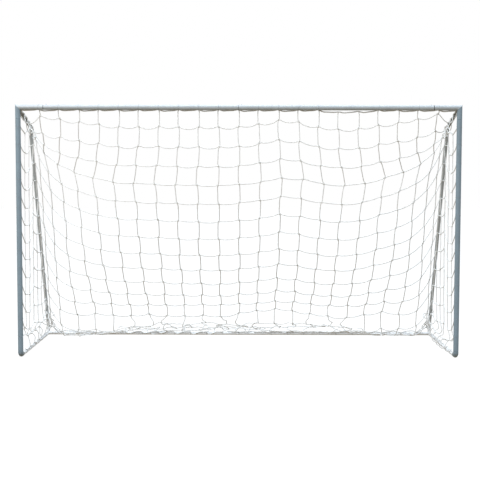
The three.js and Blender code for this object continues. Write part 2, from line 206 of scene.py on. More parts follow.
def new_object(name, verts, faces, uvs=None, slots=None):
    mesh = bpy.data.meshes.new(name)
    mesh.from_pydata([tuple(v) for v in verts], [], [tuple(int(i) for i in f) for f in faces])
    if slots is not None:
        mesh.polygons.foreach_set("material_index", np.array(slots, np.int32))
    if uvs is not None:
        set_uvs(mesh, uvs)
    mesh.validate()
    shape = bmesh.new()
    shape.from_mesh(mesh)
    bmesh.ops.recalc_face_normals(shape, faces=shape.faces)
    shape.to_mesh(mesh)
    shape.free()
    return put(name, shaded(mesh))


def merge_parts(parts):
    """One list of vertices and faces from several."""
    verts, faces, start = [], [], 0
    for part_verts, part_faces in parts:
        verts.extend(part_verts)
        faces.extend([tuple(i + start for i in face) for face in part_faces])
        start += len(part_verts)
    return verts, faces


class Route:
    """A tube's centre line: stations with a place, an arc length and two vectors across the tube."""

    def __init__(self, start, direction, across):
        self.places = [np.array(start, float)]
        self.lengths = [0.0]
        self.heading = unit(np.array(direction, float))
        first = unit(across - self.heading * np.dot(across, self.heading))
        self.across = [(first, np.cross(self.heading, first))]

    def add(self, place, across):
        self.lengths.append(self.lengths[-1] + np.linalg.norm(place - self.places[-1]))
        self.places.append(place)
        self.across.append(across)

    def straight(self, length):
        steps = max(1, math.ceil(length / LONG_STEP))
        start, across = self.places[-1], self.across[-1]
        for i in range(1, steps + 1):
            self.add(start + self.heading * length * i / steps, across)
        return self

    def bend(self, heading, radius):
        """A round bend to a new heading."""
        heading = unit(np.array(heading, float))
        angle = math.acos(np.clip(np.dot(self.heading, heading), -1, 1))
        inward = unit(heading - self.heading * np.dot(heading, self.heading))
        axis = Vector(np.cross(self.heading, heading)).normalized()
        start, across, before = self.places[-1], self.across[-1], self.heading
        steps = max(4, math.ceil(angle / BEND_STEP))
        for i in range(1, steps + 1):
            turned = angle * i / steps
            turn = np.array(Matrix.Rotation(turned, 3, axis))
            place = start + radius * (before * math.sin(turned) + inward * (1 - math.cos(turned)))
            self.add(place, (turn @ across[0], turn @ across[1]))
        self.heading = heading
        return self

    def mitre(self, heading, clear):
        """A mitred corner: the tube goes on in a new heading from a slanted section."""
        heading = unit(np.array(heading, float))
        across, before = self.across[-1], self.heading
        self.straight(clear)
        corner = self.places[-1] + before * clear
        plane = unit(before + heading)
        slanted = tuple(v - before * np.dot(v, plane) / np.dot(before, plane) for v in across)
        self.add(corner, slanted)
        axis = Vector(np.cross(before, heading)).normalized()
        turn = np.array(Matrix.Rotation(math.acos(np.clip(np.dot(before, heading), -1, 1)), 3, axis))
        self.heading = heading
        self.add(corner + heading * clear, tuple(turn @ v for v in across))
        return self

    def ring(self, length, radius, sides):
        """The points of the tube's section at an arc length."""
        i = int(np.clip(np.searchsorted(self.lengths, length) - 1, 0, len(self.lengths) - 2))
        share = (length - self.lengths[i]) / (self.lengths[i + 1] - self.lengths[i])
        place = self.places[i] + share * (self.places[i + 1] - self.places[i])
        first, second = (
            self.across[i][k] + np.clip(share, 0, 1) * (self.across[i + 1][k] - self.across[i][k])
            for k in (0, 1)
        )
        return circle(place, radius, first, second, sides)

    @property
    def total(self):
        return self.lengths[-1]


def sweep(route, profile, sides):
    """A closed skin of revolution about a route, from a closed list of (arc length, radius).

    Returns vertices, faces, and for each face whether it is bare metal, in the bore or on the plug.
    """
    rings = []
    for (s0, r0), (s1, r1) in zip(profile, profile[1:] + profile[:1]):
        rings.append((s0, r0))
        low, high = sorted((s0, s1))
        between = [s for s in route.lengths if low + 1e-6 < s < high - 1e-6]
        for s in between if s1 > s0 else reversed(between):
            rings.append((s, r0 + (r1 - r0) * (s - s0) / (s1 - s0)))
    verts = [p for s, r in rings for p in route.ring(s, r, sides)]
    skin = max(r for _, r in rings) - EDGE * 1.01
    bare = []
    for (_, near), (_, far) in zip(rings, rings[1:] + rings[:1]):
        bare += [max(near, far) < skin] * sides
    return verts, quads(len(rings), sides, closed=True), bare


def tube_profile(radius, length, plug_start=False, plug_end=False):
    """A tube's section along its length, with a swaged plug at either end or at neither."""
    bore = radius - WALL[radius]
    plug = bore - FIT
    plug_bore = plug - WALL[radius]

    def end(plugged):
        """From the bore out to the outside, as (distance in from the end, radius)."""
        if not plugged:
            return [(0.0, bore), (0.0, radius - EDGE), (EDGE, radius)]
        return [
            (SHOULDER, bore),
            (SHOULDER, plug_bore),
            (-PLUG_LENGTH, plug_bore),
            (-PLUG_LENGTH, plug - EDGE),
            (-PLUG_LENGTH + EDGE, plug),
            (0.0, plug),
            (0.0, radius - EDGE),
            (EDGE, radius),
        ]

    near = end(plug_start)
    far = [(length - s, r) for s, r in reversed(end(plug_end))]
    return near + far


def swept_tube(route, radius, plug_start=False, plug_end=False):
    return sweep(route, tube_profile(radius, route.total, plug_start, plug_end), TUBE_SIDES[radius])


def bead(path, size):
    """A weld bead along a closed path, with its ripples."""
    path = np.array(path)
    count, radius, ripple, ripples = size
    ahead, behind = np.roll(path, -1, 0), np.roll(path, 1, 0)
    heading = (ahead - behind) / np.linalg.norm(ahead - behind, axis=1)[:, None]
    out = path - path.mean(0)
    out -= heading * (out * heading).sum(1)[:, None]
    out /= np.linalg.norm(out, axis=1)[:, None]
    side = np.cross(heading, out)
    verts = []
    for k in range(count):
        swell = 1 + ripple * math.sin(2 * math.pi * ripples * k / count)
        verts += list(circle(path[k], radius * swell, out[k], side[k], BEAD_SIDES))
    faces = quads(count, BEAD_SIDES, closed=True)
    return verts, faces, [False] * len(faces)


def mirrored(parts, side):
    """Parts made for the right-hand side, moved to the side given."""
    if side > 0:
        return parts
    return [
        ([flipped(v, side) for v in verts], [tuple(reversed(face)) for face in faces], bare)
        for verts, faces, bare in parts
    ]


# ---------------------------------------------------------------- holes for the buttons
HOLE_CLEAR = 0.0003
HOLE_START = 0.0005  # from the button's foot
HOLE_REACH = 0.004  # past the button's top
PIN_SIDES = 32
JOINTS = {joint["child"][len("button_"):]: np.array(joint["axis"], float) for joint in frame["joints"]}


def button_place(name):
    """A button's foot, outward axis, length and radius, from its CAD node."""
    low, high = (np.array(v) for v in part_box("snap_button_" + name))
    outward = -JOINTS[name]
    size = np.abs(outward * (high - low)).sum()
    foot = (low + high) / 2 - outward * size / 2
    radius = ((high - low) * (1 - np.abs(outward))).max() / 2
    return foot, outward, size, radius


def crosswise(axis):
    """Two directions across a button's axis."""
    side = unit(np.cross(axis, [0.3, 0.5, 0.7]))
    return side, np.cross(axis, side)


def hole_cutter(name):
    foot, outward, size, radius = button_place(name)
    side, other = crosswise(outward)
    verts = []
    for height in (HOLE_START, size + HOLE_REACH):
        verts += list(circle(foot + outward * height, radius + HOLE_CLEAR, side, other, PIN_SIDES))
    ends = [tuple(reversed(range(PIN_SIDES))), tuple(range(PIN_SIDES, 2 * PIN_SIDES))]
    return verts, ends + quads(2, PIN_SIDES)


def with_holes(obj, joints):
    """Cuts the holes of these joints' buttons out of a tube."""
    cutter = new_object("cutter", *merge_parts([hole_cutter(name) for name in joints]))
    modifier = obj.modifiers.new("holes", "BOOLEAN")
    modifier.operation = "DIFFERENCE"
    modifier.solver = "EXACT"
    modifier.object = cutter
    evaluated = obj.evaluated_get(bpy.context.evaluated_depsgraph_get())
    mesh = bpy.data.meshes.new_from_object(evaluated)
    obj.modifiers.clear()
    obj.data = mesh
    while len(mesh.materials) > 2:
        mesh.materials.pop()
    bpy.data.objects.remove(cutter)
    shaded(mesh)


# ---------------------------------------------------------------- the tubes
def tangent_length(before, after, radius):
    return radius * math.tan(math.acos(np.clip(np.dot(before, after), -1, 1)) / 2)


def corner_parts():
    """The welded corner: mitred stubs for crossbar and upright, and the arm to the stay."""
    seam_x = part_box("crossbar_right")[1][0] + BAR_SEAM
    seam_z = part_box("upright_right")[1][2] + SEAM
    route = Route([seam_x, MOUTH_Y, BAR_Z], ACROSS, LIFT)
    route.straight(UPRIGHT_X - seam_x - 2 * MITRE_CLEAR)
    route.mitre(-LIFT, MITRE_CLEAR)
    corner_length = route.lengths[-2]
    route.straight(BAR_Z - MITRE_CLEAR - seam_z)
    stubs = swept_tube(route, MAIN_RADIUS, plug_start=True, plug_end=True)

    turn = tangent_length(ARM_LINE, STAY_LINE, ARM_BEND_RADIUS)
    arm = Route(CORNER, ARM_LINE, ACROSS)
    arm.straight(np.linalg.norm(ELBOW - CORNER) - turn)
    arm.bend(STAY_LINE, ARM_BEND_RADIUS)
    arm.straight(np.linalg.norm(STAY_TOP_SEAM - ELBOW) - turn)
    arm_tube = swept_tube(arm, THIN_RADIUS, plug_end=True)

    mitre_weld = bead(route.ring(corner_length, MAIN_RADIUS, MITRE_BEAD[0]), MITRE_BEAD)
    root = []
    for point in arm.ring(0.0, THIN_RADIUS, ARM_BEAD[0]):
        reach = MAIN_RADIUS
        for _ in range(12):
            x, _, z = point + ARM_LINE * reach - CORNER
            level = z if x < z else x
            surface = math.sqrt(max(MAIN_RADIUS**2 - level**2, 0.0))
            reach += surface - (point + ARM_LINE * reach - CORNER)[1]
        root.append(point + ARM_LINE * reach)
    return [stubs, arm_tube, mitre_weld, bead(root, ARM_BEAD)]


def foot_parts():
    """The foot: the upright's tube turns back into a closed end that carries the side bar's plug."""
    seam_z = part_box("upright_right")[0][2] - SEAM
    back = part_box("side_bar_right")[0][1] - SEAM
    turn = FOOT_BEND_RADIUS
    route = Route([UPRIGHT_X, MOUTH_Y, seam_z], -LIFT, ACROSS)
    route.straight(seam_z - MAIN_RADIUS - turn)
    route.bend(BACKWARD, turn)
    route.straight(back - MOUTH_Y - turn)
    length = route.total
    profile = tube_profile(MAIN_RADIUS, length, plug_start=True)
    inside = profile.index((length, MAIN_RADIUS - EDGE)) + 1
    closed_end = [(length, HUB_RADIUS), (length - SHOULDER, HUB_RADIUS), (length - SHOULDER, profile[0][1])]
    shell = sweep(route, profile[:inside] + closed_end, TUBE_SIDES[MAIN_RADIUS])
    plug = Route([UPRIGHT_X, back, GROUND_Z], BACKWARD, ACROSS).straight(PLUG_LENGTH)
    outer = THIN_RADIUS - WALL[THIN_RADIUS] - FIT
    bore = outer - WALL[THIN_RADIUS]
    sleeve = [(-SHOULDER, bore), (-SHOULDER, outer), (PLUG_LENGTH - EDGE, outer), (PLUG_LENGTH, outer - EDGE)]
    plug_tube = sweep(plug, sleeve + [(PLUG_LENGTH, bore)], TUBE_SIDES[THIN_RADIUS])
    return [shell, plug_tube]


def rear_corner_parts():
    """The rear corner: a bend from the side bar up to the stay, with a stub for the back bar."""
    side_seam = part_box("side_bar_right")[1][1] + SEAM
    start = np.array([UPRIGHT_X, side_seam, GROUND_Z])
    turn = tangent_length(BACKWARD, -STAY_LINE, REAR_BEND_RADIUS)
    route = Route(start, BACKWARD, ACROSS)
    route.straight(STAY_FOOT[1] - side_seam - turn)
    route.bend(-STAY_LINE, REAR_BEND_RADIUS)
    route.straight(np.linalg.norm(STAY_FOOT_SEAM - STAY_FOOT) - turn)
    seam_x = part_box("back_bar_right")[1][0] + SEAM
    stub = Route([UPRIGHT_X, BACK_Y, GROUND_Z], -ACROSS, LIFT).straight(UPRIGHT_X - seam_x)
    saddle = []
    for i in range(STUB_BEAD[0]):
        angle = 2 * math.pi * i / STUB_BEAD[0]
        out = THIN_RADIUS * np.array([-abs(math.cos(angle)), math.cos(angle), math.sin(angle)])
        saddle.append(np.array([UPRIGHT_X, BACK_Y, GROUND_Z]) + out)
    return [
        swept_tube(route, THIN_RADIUS, plug_start=True, plug_end=True),
        swept_tube(stub, THIN_RADIUS, plug_end=True),
        bead(saddle, STUB_BEAD),
    ]


def straight_parts(start, end, radius, plugged=False):
    route = Route(start, unit(np.array(end) - start), ACROSS if abs(end[0] - start[0]) < 0.01 else LIFT)
    route.straight(np.linalg.norm(np.array(end) - start))
    return [swept_tube(route, radius, plug_end=plugged)]


def bar_parts(node, radius, y, z, side):
    """Half of the crossbar or back bar. The left one has the plug in the middle."""
    low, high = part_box(node + "_right")
    ends = [np.array([high[0], y, z]), np.array([low[0], y, z])]
    return straight_parts(*ends, radius, plugged=side < 0)


def near_box(obj, place, margin=0.03):
    points = np.array([v.co for v in obj.data.vertices])
    return bool(((place > points.min(0) - margin) & (place < points.max(0) + margin)).all())


def joined(name, objects):
    """One object from several, which it takes the place of."""
    shape = bmesh.new()
    for obj in objects:
        shape.from_mesh(obj.data)
        bpy.data.objects.remove(obj)
    mesh = bpy.data.meshes.new(name)
    shape.to_mesh(mesh)
    shape.free()
    return put(name, shaded(mesh))


def tube_piece(name, parts, side, joints, paint, bare_metal, slot):
    shells = [new_object("shell", *part[:2], slots=part[2]) for part in mirrored(parts, side)]
    for shell in shells:
        shell.data.materials.append(paint)
        shell.data.materials.append(bare_metal)
        cuts = [joint for joint in joints if near_box(shell, button_place(joint)[0])]
        if cuts:
            with_holes(shell, cuts)
    obj = joined(name + "_tube", shells)
    obj.data.materials.append(paint)
    obj.data.materials.append(bare_metal)
    hand_over(obj, slot, name)


def make_tubes(main_paint, thin_paint, bare_metal):
    upright = [np.array([UPRIGHT_X, MOUTH_Y, end[2]]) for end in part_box("upright_right")]
    side_bar = [np.array([UPRIGHT_X, end[1], GROUND_Z]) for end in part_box("side_bar_right")]
    stay = [STAY_TOP_SEAM + SEAM * STAY_LINE, STAY_FOOT_SEAM - SEAM * STAY_LINE]
    for label, side in SIDES.items():
        crossbar = bar_parts("crossbar", MAIN_RADIUS, MOUTH_Y, BAR_Z, side)
        back_bar = bar_parts("back_bar", THIN_RADIUS, BACK_Y, GROUND_Z, side)
        tubes = {
            "top_corner": (corner_parts(), ["crossbar", "upright_top", "stay_top"]),
            "foot": (foot_parts(), ["upright_bottom", "side_bar_front"]),
            "rear_corner": (rear_corner_parts(), ["side_bar_rear", "stay_bottom", "back_bar"]),
            "upright": (straight_parts(*upright, MAIN_RADIUS), ["upright_top", "upright_bottom"]),
            "side_bar": (straight_parts(*side_bar, THIN_RADIUS), ["side_bar_front", "side_bar_rear"]),
            "stay": (straight_parts(*stay, THIN_RADIUS), ["stay_top", "stay_bottom"]),
            "crossbar": (crossbar, ["crossbar"]),
            "back_bar": (back_bar, ["back_bar"]),
        }
        for name, (parts, joints) in tubes.items():
            near = [f"{joint}_{label}" for joint in joints]
            if name in ("crossbar", "back_bar"):
                near.append(name + "_middle")
            paint, slot = (thin_paint, "thin_tube") if name in THIN_TUBES else (main_paint, "main_tube")
            tube_piece(f"{name}_{label}", parts, side, near, paint, bare_metal, slot)


# ---------------------------------------------------------------- buttons
def lathe(profile, foot, axis, sides):
    """A solid of revolution about an axis. The profile runs from the axis to the axis."""
    side, other = crosswise(axis)
    verts = [foot + axis * profile[0][0]]
    for height, radius in profile[1:-1]:
        verts += list(circle(foot + axis * height, radius, side, other, sides))
    verts.append(foot + axis * profile[-1][0])
    last = len(verts) - 1
    faces = [tuple(i + 1 for i in face) for face in quads(len(profile) - 2, sides)]
    for i in range(sides):
        j = (i + 1) % sides
        faces.append((0, 1 + j, 1 + i))
        faces.append((last - sides + i, last - sides + j, last))
    return verts, faces


SPRING_THICKNESS = 0.0008
SPRING_WIDTH = 0.008
SPRING_OPEN = -0.008  # its open end, from the button towards the plug's mouth
SPRING_CLOSED = 0.032
SPRING_TIP = 0.0025  # half the height of its closed end
SPRING_GAP = 0.0005  # from its fixed arm to the bore
SPRING_ARM_STEPS = 14
SPRING_LOOP_STEPS = 15
BUTTON_ROOT = 0.0015  # how far a button reaches in past the plug's wall
DOME = 0.0022  # height of a button's round end
DOME_STEPS = 10
DOME_FULLNESS = 0.8  # 1 for an ellipse, and less for a flatter end
PIN_EDGE = 0.0003


def leaf_path(bore):
    """The middle of a leaf spring's strip, as places along the tube and out from its axis."""
    free = bore - BUTTON_ROOT - FIT - SPRING_THICKNESS / 2
    fixed = SPRING_GAP + SPRING_THICKNESS / 2 - math.sqrt(bore**2 - (SPRING_WIDTH / 2) ** 2)
    turn = SPRING_TIP - SPRING_THICKNESS / 2
    run = SPRING_CLOSED - SPRING_OPEN
    fixed_lean = math.atan2(-turn - fixed, run)
    free_lean = math.atan2(free - turn, run)
    angles = np.linspace(fixed_lean - math.pi / 2, math.pi / 2 - free_lean, SPRING_LOOP_STEPS)
    loop = np.column_stack([SPRING_CLOSED - turn / 2 + turn * np.cos(angles), turn * np.sin(angles)])
    fixed_arm = np.linspace((SPRING_OPEN, fixed), loop[0], SPRING_ARM_STEPS)[:-1]
    free_arm = np.linspace(loop[-1], (SPRING_OPEN, free), SPRING_ARM_STEPS)[1:]
    return np.vstack([fixed_arm, loop, free_arm]), free


def make_spring(name, spring_steel):
    """The V-shaped leaf behind a button, with a fixed arm near the bore and a free arm under the button."""
    foot, outward, _, _ = button_place(name)
    radius = MAIN_RADIUS if name.startswith(("crossbar", "upright")) else THIN_RADIUS
    bore = radius - 2 * WALL[radius] - FIT
    centre = foot - outward * (bore - BUTTON_ROOT)
    offset = middle("button_spring_" + name) - foot
    along = unit(offset - outward * np.dot(offset, outward))
    plan, free = leaf_path(bore)
    path = centre + np.outer(plan[:, 0], along) + np.outer(plan[:, 1], outward)
    verts, faces, uvs = ribbon(path, np.cross(along, outward), SPRING_WIDTH, SPRING_THICKNESS)
    obj = new_object(f"button_{name}_leaf", verts, faces, uvs=uvs)
    obj.data.materials.append(spring_steel)
    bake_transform(obj)
    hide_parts(f"button_spring_{name}")


def make_buttons(steel, spring_steel):
    for name in JOINTS:
        foot, outward, size, radius = button_place(name)
        profile = [(0.0, 0.0), (0.0, radius - PIN_EDGE), (PIN_EDGE, radius)]
        for i in range(DOME_STEPS):
            angle = math.pi / 2 * i / DOME_STEPS
            height = size - DOME + DOME * math.sin(angle)
            profile.append((height, radius * math.cos(angle) ** DOME_FULLNESS))
        profile.append((size, 0.0))
        obj = new_object(f"button_{name}_pin", *lathe(profile, foot, outward, PIN_SIDES))
        obj.data.materials.append(steel)
        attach(obj, f"button_{name}")
        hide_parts(f"snap_button_{name}")
        make_spring(name, spring_steel)


# ---------------------------------------------------------------- straps
STRAP_WIDTH = 0.020
STRAP_THICKNESS = 0.0016
STRAP_FROM_BEND = 0.013
STRAP_TAB = 0.0145


def smoothed(points, rounds=2):
    """A path with its corners cut, its two ends kept."""
    points = np.array(points, float)
    for _ in range(rounds):
        first = points[:-1] * 0.75 + points[1:] * 0.25
        second = points[:-1] * 0.25 + points[1:] * 0.75
        cut = np.empty((len(first) * 2, points.shape[1]))
        cut[0::2], cut[1::2] = first, second
        points = np.vstack([points[:1], cut, points[-1:]])
    return points


def ribbon(path, across, width, thickness, corner_steps=3):
    """A band with rounded edges along a path, its width along across. Returns vertices, faces and UVs."""
    path = np.array(path)
    normal = np.cross(along(path), across)
    rounding = thickness * 0.45
    section = []
    for cx, cy, start in ((1, 1, 0), (-1, 1, 90), (-1, -1, 180), (1, -1, 270)):
        for k in range(corner_steps + 1):
            angle = math.radians(start + 90 * k / corner_steps)
            section.append(
                (
                    cx * (width / 2 - rounding) + rounding * math.cos(angle),
                    cy * (thickness / 2 - rounding) + rounding * math.sin(angle),
                )
            )
    lengths = arc_lengths(path)
    count = len(section)
    verts = [p + x * across + y * n for p, n in zip(path, normal) for x, y in section]
    ends = [tuple(reversed(range(count))), tuple(range((len(path) - 1) * count, len(path) * count))]
    faces = quads(len(path), count) + ends
    uvs = [(lengths[i // count], section[i % count][0]) for face in faces for i in face]
    return verts, faces, uvs


def strap_path(place, inward):
    """Round the stay and out into a tab whose two layers are pressed together."""
    side = np.cross(STAY_LINE, inward)
    radius = THIN_RADIUS + FIT + STRAP_THICKNESS / 2
    layer = STRAP_THICKNESS * 0.55
    reach = radius + STRAP_TAB
    outline = [(reach, layer), (radius + 0.004, layer), (radius + 0.0005, layer * 1.6)]
    first = 16
    for degrees in range(first, 361 - first, 8):
        angle = math.radians(degrees)
        outline.append((radius * math.cos(angle), radius * math.sin(angle)))
    outline += [(x, -y) for x, y in reversed(outline[:3])]
    outline[-1] = (reach - 0.0025, -layer)
    return [place + x * inward + y * side for x, y in smoothed(outline)]


def make_straps(webbing):
    arm_turn = tangent_length(ARM_LINE, STAY_LINE, ARM_BEND_RADIUS)
    foot_turn = tangent_length(BACKWARD, -STAY_LINE, REAR_BEND_RADIUS)
    places = {
        "high": ELBOW + STAY_LINE * (arm_turn + STRAP_FROM_BEND),
        "low": STAY_FOOT - STAY_LINE * (foot_turn + STRAP_FROM_BEND),
    }
    for label, side in SIDES.items():
        for level, place in places.items():
            path = strap_path(flipped(place, side), ACROSS * -side)
            obj = new_object(f"strap_{level}_{label}", *ribbon(path, STAY_LINE, STRAP_WIDTH, STRAP_THICKNESS))
            obj.data.materials.append(webbing)
            hand_over(obj, "strap_webbing", f"net_strap_{level}_{label}")


# ---------------------------------------------------------------- the net's shape
MESH_SIZE = 0.146  # knot to knot
MESH_DROP = 0.140  # the same down the net's upper rows
LOW_MESH_DROP = 0.147  # and down its lower rows, which hang slack
LOW_ROW = 6
SIDE_MESH_DROP = 0.129  # the side panels' spare length is gathered into their lower ties
TOP_TIE = -0.020  # what the tie on the crossbar takes up of each column
CORNER_MESH = 0.085  # the netting is gathered beside the stay's column
ROWS = 17
ARM_ROWS = 4  # rows of meshes along the arm, above the elbow
BAR_MESHES = 22
SIDE_MESHES = 7
PARTS = 4  # segments of each string
TWINE_RADIUS = 0.0032
BORDER_RADIUS = 0.0033
HANG = 0.004  # from a tube's skin to the middle of the twine that hangs on it
STAY_HANG = 0.010  # the same beside the stay,
STAY_INSET = 0.006  # and in front of it
ARM_RISE = 0.002  # of the twine along the arm above its middle
ARM_START = 0.10  # share of the arm at which the twine starts
STAY_START, STAY_SPAN = 0.02, 0.95  # where the twine starts on the stay, and how much of it it takes
ELBOW_DROP = 0.016  # from the elbow's middle to the side panel's top
END_WIDTH = 0.05  # least room left between a side panel's last column and the stay
BAR_INSET = 0.004  # from the upright's middle to the crossbar's outer ties
BACK_INSET = 0.110  # the same for the back bar's
UPRIGHT_TILT = math.radians(26)  # from straight back towards the goal's middle
BAR_TILT = math.radians(40)  # from straight back towards the ground
BACK_TILT = math.radians(50)  # from straight forward towards the sky
# how much of its first mesh a column's tie takes up, or leaves over
TOP_TIES = {
    1: -0.072, 2: -0.055, 3: -0.035, 4: -0.018,
    12: -0.022, 13: -0.050, 14: -0.035,
    16: 0.014, 17: 0.010,
    18: -0.015, 19: -0.033, 20: -0.060, 21: -0.092,
}
PILE_ROW = 11.8
PILE_HEIGHT = 0.165
PILE_DEPTH = 0.20
PILE_BEHIND = 0.028
PILE_HALF_WIDTH = 1.25
PILE_FADE = 0.5  # over which it thins out at each end
PILE_ABOVE = 1.6  # times its height, up to which it holds the net back
SIDE_BULGE = 0.010
STIFFNESS = 0.875  # least share of its length that a bent stretch of twine spans
# how the net starts: its columns near the corners lean towards the stays, and all sag forward
CORNER_PULL = 1.4  # columns over which that lean fades
CORNER_ASIDE = 0.15  # share of the lean that is sideways
START_SAG = 0.10
KNOT_JITTER = 0.006
STRING_JITTER = 0.002
LENGTH_JITTER = 0.012  # share of a string's length
SPARE = 1.02  # twine over the gap that it spans
DRAWN_TIGHT = 0.99
SEED = 7
SIM_STEPS = 1400
SIM_ROUNDS = 8
CONTACT_ROUNDS = 4  # tubes, ground and heap are felt in each fourth round
SIM_STEP = 1 / 90  # seconds
GRAVITY = 9.81
SWING = 0.985  # share of its speed that a point keeps in a step
CALM = 0.93  # and in the last steps
SWING_SHARE = 0.7  # of the steps
GROUND_REACH = 0.002
GROUND_DRAG = 0.5
FOLD_REACH = 0.022  # from the stay's skin
BEND_SHARE = 0.35
BEND_GROUPS = 4
TINY = 1e-9

COLUMNS = 2 * (SIDE_MESHES + 1) + BAR_MESHES
STAY_COLUMNS = (SIDE_MESHES, COLUMNS - SIDE_MESHES)
FIRST_BAR_COLUMN = SIDE_MESHES + 1


def column_side(column):
    return -1.0 if column <= COLUMNS // 2 else 1.0


def from_edge(column):
    """0 at the column on the upright, SIDE_MESHES at the one on the stay, and more along the bars."""
    return min(column, COLUMNS - column)


def has_knot(column, row):
    """The side panels taper: their columns end at the arm or the stay."""
    edge = from_edge(column)
    if edge in (0, SIDE_MESHES):
        return row >= ARM_ROWS or edge == SIDE_MESHES
    if edge > SIDE_MESHES:
        return True
    width = stay_point(row)[1] - upright_point(row)[1]
    return row >= ARM_ROWS and edge * MESH_SIZE < width - END_WIDTH


def stay_point(row):
    """Where the column on the right-hand stay has its row: along the arm, and then down the stay."""
    out = np.cross(STAY_LINE, ACROSS)
    if row <= ARM_ROWS:
        share = ARM_START + (1 - ARM_START) * row / ARM_ROWS
        return CORNER + (ELBOW - CORNER) * share + np.array([-THIN_RADIUS - HANG, 0, ARM_RISE])
    share = (row - ARM_ROWS) / (ROWS - ARM_ROWS)
    place = ELBOW + (STAY_FOOT - ELBOW) * (STAY_START + STAY_SPAN * share)
    return place + np.array([-THIN_RADIUS - STAY_HANG, 0, 0]) - out * STAY_INSET


def upright_point(row):
    """Where the border on the right-hand upright has its row, beside the line of the buttons."""
    top, bottom = ELBOW[2] - ELBOW_DROP, GROUND_Z + THIN_RADIUS + HANG
    share = (row - ARM_ROWS) / (ROWS - ARM_ROWS)
    reach = MAIN_RADIUS + HANG
    x = UPRIGHT_X - reach * math.sin(UPRIGHT_TILT)
    return np.array([x, MOUTH_Y + reach * math.cos(UPRIGHT_TILT), top + (bottom - top) * share])


def bar_point(column):
    """A column's tie behind the crossbar."""
    share = (column - FIRST_BAR_COLUMN) / BAR_MESHES
    reach = MAIN_RADIUS + HANG
    x = (2 * share - 1) * (UPRIGHT_X - BAR_INSET)
    return np.array([x, MOUTH_Y + reach * math.cos(BAR_TILT), BAR_Z - reach * math.sin(BAR_TILT)])


def ground_point(column):
    """A column's tie on the back bar, or on the side bar."""
    reach = THIN_RADIUS + HANG
    edge = from_edge(column)
    side = column_side(column)
    if edge < SIDE_MESHES:
        start = MOUTH_Y + MAIN_RADIUS + HANG
        return np.array([side * UPRIGHT_X, start + MESH_SIZE * edge, GROUND_Z + reach])
    share = (column - FIRST_BAR_COLUMN) / BAR_MESHES
    x = (2 * share - 1) * (UPRIGHT_X - BACK_INSET)
    return np.array([x, BACK_Y - reach * math.cos(BACK_TILT), GROUND_Z + reach * math.sin(BACK_TILT)])


